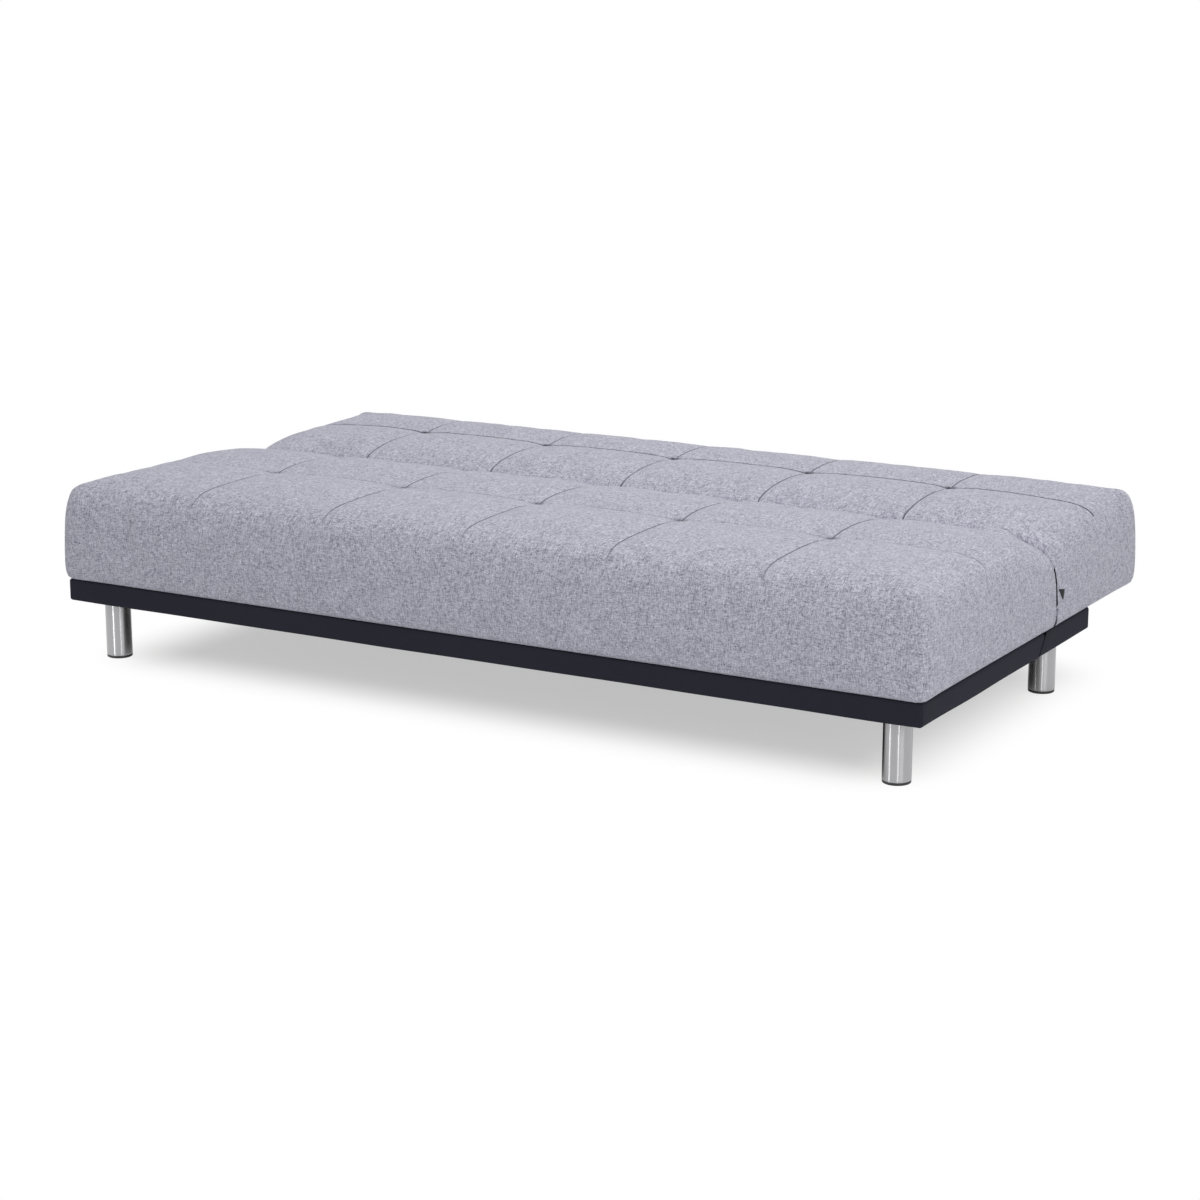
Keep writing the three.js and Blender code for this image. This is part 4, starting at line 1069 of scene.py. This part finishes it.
def band_strip(name, towards, seed):
    """towards is -1 for the front strip and +1 for the rear one."""
    bend, curl_high, curl_deep, step_out = FRONT_STRIP if towards < 0 else REAR_STRIP
    lap = LAP if towards > 0 else ()
    path, turn, joint = strip_path(FRONT_FACE if towards < 0 else BASE_REAR, bend, towards, lap)
    place_x, place_y, out_x, out_y = (path[:, i : i + 1] for i in range(4))
    along = np.concatenate([[0], np.cumsum(np.hypot(np.diff(path[:, 0]), np.diff(path[:, 1])))])
    inset, height = section[:, 0], section[:, 1]
    x, y = place_x - out_x * inset[None], place_y - out_y * inset[None]
    z = np.repeat(height[None], len(path), 0)
    tall = BASE_TOP - BASE_BOTTOM
    outside = (inset < EDGE_ROUND * 0.98)[None]
    push = waver(along, FACE_WAVE, FACE_WANDER, seed)[:, None]
    push = push * np.sin((z - BASE_BOTTOM) / tall * math.pi) * outside
    x, y = x + out_x * push, y + out_y * push
    lower = ((height < BASE_BOTTOM + EDGE_ROUND) & (inset < LIP))[None]
    z = z + waver(along, EDGE_WAVE, EDGE_WANDER, seed + 1)[:, None] * lower
    slant = JOINT_LOW + (z - BASE_BOTTOM) / tall * (JOINT_HIGH - JOINT_LOW) + towards * JOINT_GAP / 2
    from_curl = z - (BASE_TOP - curl_high) if towards < 0 else (BASE_BOTTOM + curl_high) - z
    soft = np.clip(from_curl / curl_high, 0, 1)
    slant = slant + towards * curl_deep * (1 - np.sqrt(np.maximum(1 - soft**2, 0)))
    on_side = np.abs(out_x) > 0.999
    share = np.clip((turn - y) / (turn - joint), 0, 1) * on_side
    x = x + np.sign(x) * (near(y - joint, JOINT_REACH, 2) * on_side) * step_out
    y = y + share * (slant - joint)
    sunk = [*range(len(lap)), *range(len(path) - len(lap), len(path))]
    x[sunk] -= np.sign(x[sunk]) * LAP_SUNK
    count, ring = x.shape
    index = np.arange(count * ring).reshape(count, ring)
    beside = np.roll(index, -1, 1)
    quads = np.stack([index[:-1], index[1:], beside[1:], beside[:-1]], -1).reshape(-1, 4).tolist()
    mesh = bpy.data.meshes.new(name)
    points = np.stack([x, y, z], -1).reshape(-1, 3)
    mesh.from_pydata(points.tolist(), [], quads + [index[0].tolist(), index[-1].tolist()[::-1]])
    with editing(mesh) as edit:
        bmesh.ops.recalc_face_normals(edit, faces=edit.faces)
    # The sunk laps at each joint get the near-black finish: painted shade, a dark line where the joint lies in
    # shadow.
    for i in range(len(lap)):
        for first in (i * ring, (count - 2 - i) * ring):
            for polygon in mesh.polygons[first : first + ring]:
                polygon.material_index = 1
    return finished(name, mesh, [coated, shade_felt], sharp=50)


for place, towards, seed in (("front", -1, 3), ("rear", 1, 8)):
    strip = band_strip(f"band_{place}", towards, seed)
    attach(strip, "base")
    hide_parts(f"base_cover_{place}")
    print(strip.name, "faces:", len(strip.data.polygons))

# %% [markdown]
# ## Legs
# Each leg is a chromed steel tube with a black glide pressed into its foot. A tube is a turned shape, so a
# short profile is spun about the leg's own axis. Real tube ends are never sharp: they are broken with a
# tiny round that catches the light. All four tubes make one piece and all four glides another.

# %% Spin a profile about each leg's axis
LEGS = [f"{a}_{b}" for a in ("front", "rear") for b in ("left", "right")]
UV_STEP = 0.001


def spun(name, profile, sides, material, nodes):
    verts, faces, uvs = [], [], []
    turns = np.linspace(0, 2 * math.pi, sides, endpoint=False)
    rows = len(profile)
    for low, high in (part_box(f"leg_tube_{leg}") for leg in LEGS):
        cx, cy, start = (low.x + high.x) / 2, (low.y + high.y) / 2, len(verts)
        for r, z in profile:
            verts += [(cx + r * math.cos(t), cy + r * math.sin(t), z) for t in turns]
        for i in range(rows):
            following = (i + 1) % rows
            a, b = start + i * sides, start + following * sides
            u, next_u = sum(profile[i]), sum(profile[following])
            for k in range(sides):
                faces.append((a + k, a + (k + 1) % sides, b + (k + 1) % sides, b + k))
                v, next_v = k * UV_STEP, (k + 1) * UV_STEP
                uvs += [u, v, u, next_v, next_u, next_v, next_u, v]
    mesh = bpy.data.meshes.new(name)
    mesh.from_pydata(verts, [], faces)
    mesh.uv_layers.new(name="turned").data.foreach_set("uv", uvs)
    with editing(mesh) as edit:
        bmesh.ops.remove_doubles(edit, verts=edit.verts, dist=1e-6)
        bmesh.ops.dissolve_degenerate(edit, dist=1e-7, edges=edit.edges)
        bmesh.ops.recalc_face_normals(edit, faces=edit.faces)
    piece = finished(name, mesh, [material], sharp=40)
    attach(piece, "base")
    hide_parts(*nodes)
    return piece


tube_low, tube_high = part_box("leg_tube_front_right")
glide_low, glide_high = (corner.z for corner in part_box("leg_glide_front_right"))
R, WALL = (tube_high.x - tube_low.x) / 2, 0.0015
BORE = R - WALL
lo, hi = tube_low.z, tube_high.z
tube_profile = [
    (R - 0.0006, lo), (R - 0.0002, lo + 0.0002), (R, lo + 0.0007), (R, lo + 0.004), (R, (lo + hi) / 2),
    (R, hi - 0.004), (R, hi - 0.0007), (R - 0.0002, hi - 0.0002), (R - 0.0006, hi),
    (BORE + 0.0003, hi), (BORE, hi - 0.0004), (BORE, (lo + hi) / 2), (BORE, lo + 0.0004),
    (BORE + 0.0003, lo),
]
tube_nodes = [f"leg_tube_{leg}" for leg in LEGS]
tubes = spun("chromed_leg_tubes", tube_profile, 96, chrome, tube_nodes)
G, PLUG = R - 0.0002, BORE - 0.0003
glide_profile = [
    (0, glide_low + 0.0006), (G * 0.55, glide_low + 0.0004), (G * 0.9, glide_low),
    (G - 0.0014, glide_low + 0.0002), (G - 0.0004, glide_low + 0.0009), (G, glide_low + 0.002),
    (G, lo - 0.0009), (G - 0.0003, lo - 0.0003), (PLUG, lo - 0.0001), (PLUG - 0.0002, lo + 0.006),
    (PLUG, lo + 0.008), (PLUG - 0.0004, glide_high - 0.0008), (PLUG - 0.0012, glide_high),
    (PLUG - 0.004, glide_high), (PLUG - 0.005, lo + 0.001), (0, lo + 0.001),
]
glide_nodes = [f"leg_glide_{leg}" for leg in LEGS]
glides = spun("black_foot_glides", glide_profile, 64, plastic, glide_nodes)
print("tube and glide faces:", len(tubes.data.polygons), len(glides.data.polygons))

# %% [markdown]
# ## Small fixings, repeated by Geometry Nodes
# Things that repeat along a line are best described once and placed by rule. A tree gets named inputs for
# the sizes, its values are set by each socket's identifier before the object is first looked at, and the
# result is turned into a plain mesh, because instances and live modifiers don't travel with the part.

# %% Helpers for geometry trees
def geometry_tree(name, inputs):
    sockets = {"Geometry": "Geometry"}
    tree, given, out = new_group(name, {**sockets, **inputs}, sockets, "GeometryNodeTree")
    node, calc = makers(tree)

    def geometry(kind, **inputs):
        return node("GeometryNode" + kind, **inputs)

    def wander(size):
        """A random shift or turn, even to both sides."""
        limits = {"i0": tuple(-v for v in size), "i1": size}
        return node("FunctionNodeRandomValue", data_type="FLOAT_VECTOR", **limits, Seed=given["Seed"])

    return tree, given, out, node, calc, geometry, wander


def run_tree(name, mesh, tree, values, body):
    piece = in_scene(name, mesh)
    modifier = piece.modifiers.new("build", "NODES")
    modifier.node_group = tree
    for item in tree.interface.items_tree:
        if item.in_out == "INPUT" and item.name in values:
            modifier[item.identifier] = values[item.name]
    made = bpy.data.meshes.new_from_object(piece.evaluated_get(bpy.context.evaluated_depsgraph_get()))
    piece.modifiers.remove(modifier)
    made.name = name
    piece.data = made
    bpy.data.meshes.remove(mesh)
    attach(piece, body)
    print(name, "faces:", len(made.polygons))


print("geometry helpers ready")

# %% [markdown]
# A tuft is held by a bar tack: a short bar of dense thread sewn across the seam through the padding. The
# input mesh is one point for each tuft. Each point becomes a row of points, and on each of these lies a
# small arched stitch, turned and shifted a little at random.

# %% Bar tack tree
def make_tack_tree():
    inputs = {
        "Tack Length": 0.02,
        "Stitch Count": 20,
        "Stitch Length": 0.003,
        "Thread Radius": 0.0004,
        "Seed": 3,
    }
    tree, given, out, node, calc, geometry, wander = geometry_tree("bar_tack", inputs)
    length, radius = given["Tack Length"], given["Thread Radius"]
    step = node("CombineXYZ", X=calc("DIVIDE", length, calc("SUBTRACT", given["Stitch Count"], 1.0)))
    begin = node("CombineXYZ", X=calc("MULTIPLY", length, -0.5))
    row = geometry("MeshLine", Count=given["Stitch Count"], Start_Location=begin, Offset=step)
    rows = geometry("InstanceOnPoints", Points=given["Geometry"], Instance=row)
    places = geometry("RealizeInstances", Geometry=rows)
    uneven = geometry("SetPosition", Geometry=places, Offset=wander((0.0002, 0.0004, 0.0001)))
    half = calc("MULTIPLY", given["Stitch Length"], 0.5)
    start, end = node("CombineXYZ", Y=calc("MULTIPLY", half, -1.0)), node("CombineXYZ", Y=half)
    middle = node("CombineXYZ", Z=calc("MULTIPLY", radius, 4.0))
    arch = geometry("CurveQuadraticBezier", Resolution=4, Start=start, Middle=middle, End=end)
    round_thread = geometry("CurvePrimitiveCircle", Resolution=5, Radius=radius)
    stitch = geometry("CurveToMesh", Curve=arch, Profile_Curve=round_thread, Fill_Caps=True)
    turn = wander((0, 0, 0.25))
    stitches = geometry("InstanceOnPoints", Points=uneven, Instance=stitch, Rotation=turn)
    real = geometry("RealizeInstances", Geometry=stitches)
    fill(out[0], geometry("SetMaterial", Geometry=real, Material=thread))
    return tree


tack_tree = make_tack_tree()
print("bar tack inputs:", [i.name for i in tack_tree.interface.items_tree if i.in_out == "INPUT"])

# %% Sew the tufts
TACK = {
    "Tack Length": 0.021,
    "Stitch Count": 24,
    "Stitch Length": 0.0034,
    "Thread Radius": 0.00045,
    "Seed": 3,
}
THREAD_LIFT = 0.0006


def sew_tufts(name, cushion_piece, row, body):
    surface = BVHTree.FromObject(cushion_piece, bpy.context.evaluated_depsgraph_get())
    hits = [surface.ray_cast(Vector((column, row, 1.0)), Vector((0, 0, -1)))[0] for column in COLUMNS]
    mesh = bpy.data.meshes.new(name + "_places")
    mesh.from_pydata([(column, row, hit.z + THREAD_LIFT) for column, hit in zip(COLUMNS, hits)], [], [])
    run_tree(name, mesh, tack_tree, TACK, body)


sew_tufts("seat_bar_tacks", seat, seat_cushion["tuft_row"], "base")
sew_tufts("back_bar_tacks", back, back_cushion["tuft_row"], "back")

# %% [markdown]
# The linings are held by staples, driven every few centimetres by hand, so none sits quite straight. The
# input mesh is the wire of one staple. The tree rounds its two bends, gives it a flat section, and puts
# copies along a rectangle.

# %% Staple tree
def make_staple_tree():
    inputs = {
        "Across": 1.0,
        "Deep": 0.5,
        "Spacing": 0.055,
        "Wire Width": 0.0012,
        "Wire Thickness": 0.0006,
        "Place": (0.0, 0.0, 0.0),
        "Seed": 5,
    }
    tree, given, out, node, _, geometry, wander = geometry_tree("staple_row", inputs)

    def rectangle(width, height):
        return geometry("CurvePrimitiveQuadrilateral", Width=given[width], Height=given[height])

    wire = geometry("MeshToCurve", Mesh=given["Geometry"])
    bent = geometry("FilletCurve", mode="POLY", Curve=wire, Count=2, Radius=0.0009)
    flat_wire = rectangle("Wire Width", "Wire Thickness")
    staple = geometry("CurveToMesh", Curve=bent, Profile_Curve=flat_wire, Fill_Caps=True)
    edge = rectangle("Across", "Deep")
    spots = geometry("CurveToPoints", mode="LENGTH", Curve=edge, Length=given["Spacing"])
    tangent = spots.outputs["Tangent"]
    along_edge = node("FunctionNodeAlignRotationToVector", axis="X", pivot_axis="Z", Vector=tangent)
    turned = node("FunctionNodeRotateRotation", Rotation=along_edge, Rotate_By=wander((0, 0, 0.16)))
    moved = geometry("SetPosition", Geometry=spots, Offset=wander((0.002, 0.002, 0)))
    row = geometry("InstanceOnPoints", Points=moved, Instance=staple, Rotation=turned)
    real = geometry("RealizeInstances", Geometry=row)
    placed = geometry("Transform", Geometry=real, Translation=given["Place"])
    fill(out[0], geometry("SetMaterial", Geometry=placed, Material=staple_steel))
    return tree


staple_tree = make_staple_tree()
print("staple inputs:", [i.name for i in staple_tree.interface.items_tree if i.in_out == "INPUT"])

# %% Staple the linings
STAPLE_WIRE = [(-0.0055, 0, 0.0022), (-0.0055, 0, 0), (0.0055, 0, 0), (0.0055, 0, 0.0022)]
STAPLE_INSET, STAPLE_DROP = 0.009, 0.0002


def staple_lining(name, node, body, seed):
    low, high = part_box(node)
    mesh = bpy.data.meshes.new(name + "_wire")
    mesh.from_pydata(STAPLE_WIRE, [(0, 1), (1, 2), (2, 3)], [])
    values = {
        "Across": high.x - low.x - 2 * STAPLE_INSET,
        "Deep": high.y - low.y - 2 * STAPLE_INSET,
        "Place": ((low.x + high.x) / 2, (low.y + high.y) / 2, low.z - STAPLE_DROP),
        "Seed": seed,
    }
    run_tree(name, mesh, staple_tree, values, body)


staple_lining("base_lining_staples", "base_lining", "base", 5)
staple_lining("back_lining_staples", "back_lining", "back", 6)

# %% [markdown]
# ## Studio
# The photograph was taken on a white sweep under large soft lights, brightest from above. The world is an
# even white, a big lamp overhead lifts the tops, and the floor is a white sheet that only shows the soft
# shadow under the bed. In the legs' reflections the floor under the bed is painted black, a painted shadow.

# %% Floor
FLOOR_REACH = 40.0
FLOOR_GLOW = 0.50
SHADOW_MIDDLE = (0.0, -0.02, 0.0)
SHADOW_CORE = (0.70, 0.31, 1.0)
SHADOW_FADE = 0.24
# Where the painted shadow under the bed, seen only in reflections, fades out to white.
REFLECTED_SHADOW_FADE = (0.05, 0.22)


def make_floor():
    mesh = bpy.data.meshes.new("studio_floor")
    corners = [(-1, -1), (1, -1), (1, 1), (-1, 1)]
    mesh.from_pydata([(x * FLOOR_REACH, y * FLOOR_REACH, 0) for x, y in corners], [], [(0, 1, 2, 3)])
    floor = in_scene("studio_floor", mesh)
    material, shader, node, calc = new_material(
        "white_sweep", Base_Color=(0.9, 0.9, 0.9, 1), Roughness=1.0, Specular_IOR_Level=0.0
    )
    offset = node("TexCoord").outputs["Object"]
    for operation, *others in (("SUBTRACT", SHADOW_MIDDLE), ("ABSOLUTE",), ("SUBTRACT", SHADOW_CORE)):
        offset = calc(operation, offset, *others, kind="VectorMath")
    outside = calc("MAXIMUM", offset, (0, 0, 0), kind="VectorMath")
    distance = calc("LENGTH", outside, kind="VectorMath").outputs["Value"]

    def ramp(start, end, low, high):
        limits = {"i1": start, "i2": end, "i3": low, "i4": high}
        return node("MapRange", interpolation_type="SMOOTHSTEP", i0=distance, **limits)

    # Camera rays see white beyond the bed's footprint over the real shadow; glossy rays see only the emission,
    # white outside and black under the bed: a painted shadow in the legs' reflections.
    away, unshadowed_in_reflections = ramp(0.0, SHADOW_FADE, FLOOR_GLOW, 1.0), ramp(*REFLECTED_SHADOW_FADE, 0.0, 1.0)
    rays = node("LightPath").outputs
    share = calc("MULTIPLY_ADD", rays["Is Camera Ray"], away, rays["Is Glossy Ray"])
    seen = calc("MULTIPLY_ADD", rays["Is Glossy Ray"], unshadowed_in_reflections, rays["Is Camera Ray"])
    glow = node("Emission", i0=node("CombineColor", i0=seen, i1=seen, i2=seen), Strength=1.0)
    mix = node("MixShader", i0=share, i1=shader, i2=glow)
    fill(material.node_tree.nodes["Material Output"].inputs[0], mix)
    mesh.materials.append(material)
    return floor


floor = make_floor()
print("floor:", floor.name)

# %% World and lamps
WORLD_LIGHT = 0.62
world = bpy.data.worlds.new("studio")
bpy.context.scene.world = world
world.use_nodes = True
background = world.node_tree.nodes["Background"].inputs
world_node, world_calc = makers(world.node_tree)
rays = world_node("LightPath").outputs
seen = world_calc("MAXIMUM", rays["Is Camera Ray"], rays["Is Glossy Ray"])
fill(background[0], (1, 1, 1, 1))
fill(background[1], world_calc("MULTIPLY_ADD", seen, 1.0 - WORLD_LIGHT, WORLD_LIGHT))


def add_lamp(name, place, aim, size, power):
    data = bpy.data.lights.new(name, "AREA")
    data.shape = "RECTANGLE"
    data.size, data.size_y = size
    data.energy = power
    lamp = in_scene(name, data)
    lamp.location = place
    lamp.rotation_euler = (Vector(aim) - Vector(place)).to_track_quat("-Z", "Y").to_euler()
    return lamp


add_lamp("overhead_softbox", (0.4, 0.2, 3.4), (0, 0, 0.2), (4.5, 3.2), 78)
add_lamp("right_softbox", (3.9, -2.3, 1.6), (0, 0, 0.2), (2.0, 1.6), 30)
print("world light:", WORLD_LIGHT)

# %% [markdown]
# Polished tubes look like metal only if they have something narrow to reflect. Two thin strips stand to the
# left and right of the camera. They are switched off for cloth and floor, so they change nothing else; in
# the tubes each one becomes a bright upright streak.

# %% Strips for the metal
STRIP_HEIGHT, STRIP_LENGTH = 1.3, 2.4
for side, x, y, width, power in (("left", -1.2, -3.15, 0.07, 34.0), ("right", 2.24, -2.7, 0.05, 18.0)):
    aim = (x * 0.1, 0.0, STRIP_HEIGHT)
    strip = add_lamp(f"{side}_strip", (x, y, STRIP_HEIGHT), aim, (width, STRIP_LENGTH), power)
    strip.visible_diffuse = strip.visible_camera = False
bpy.context.scene.view_settings.view_transform = "Standard"
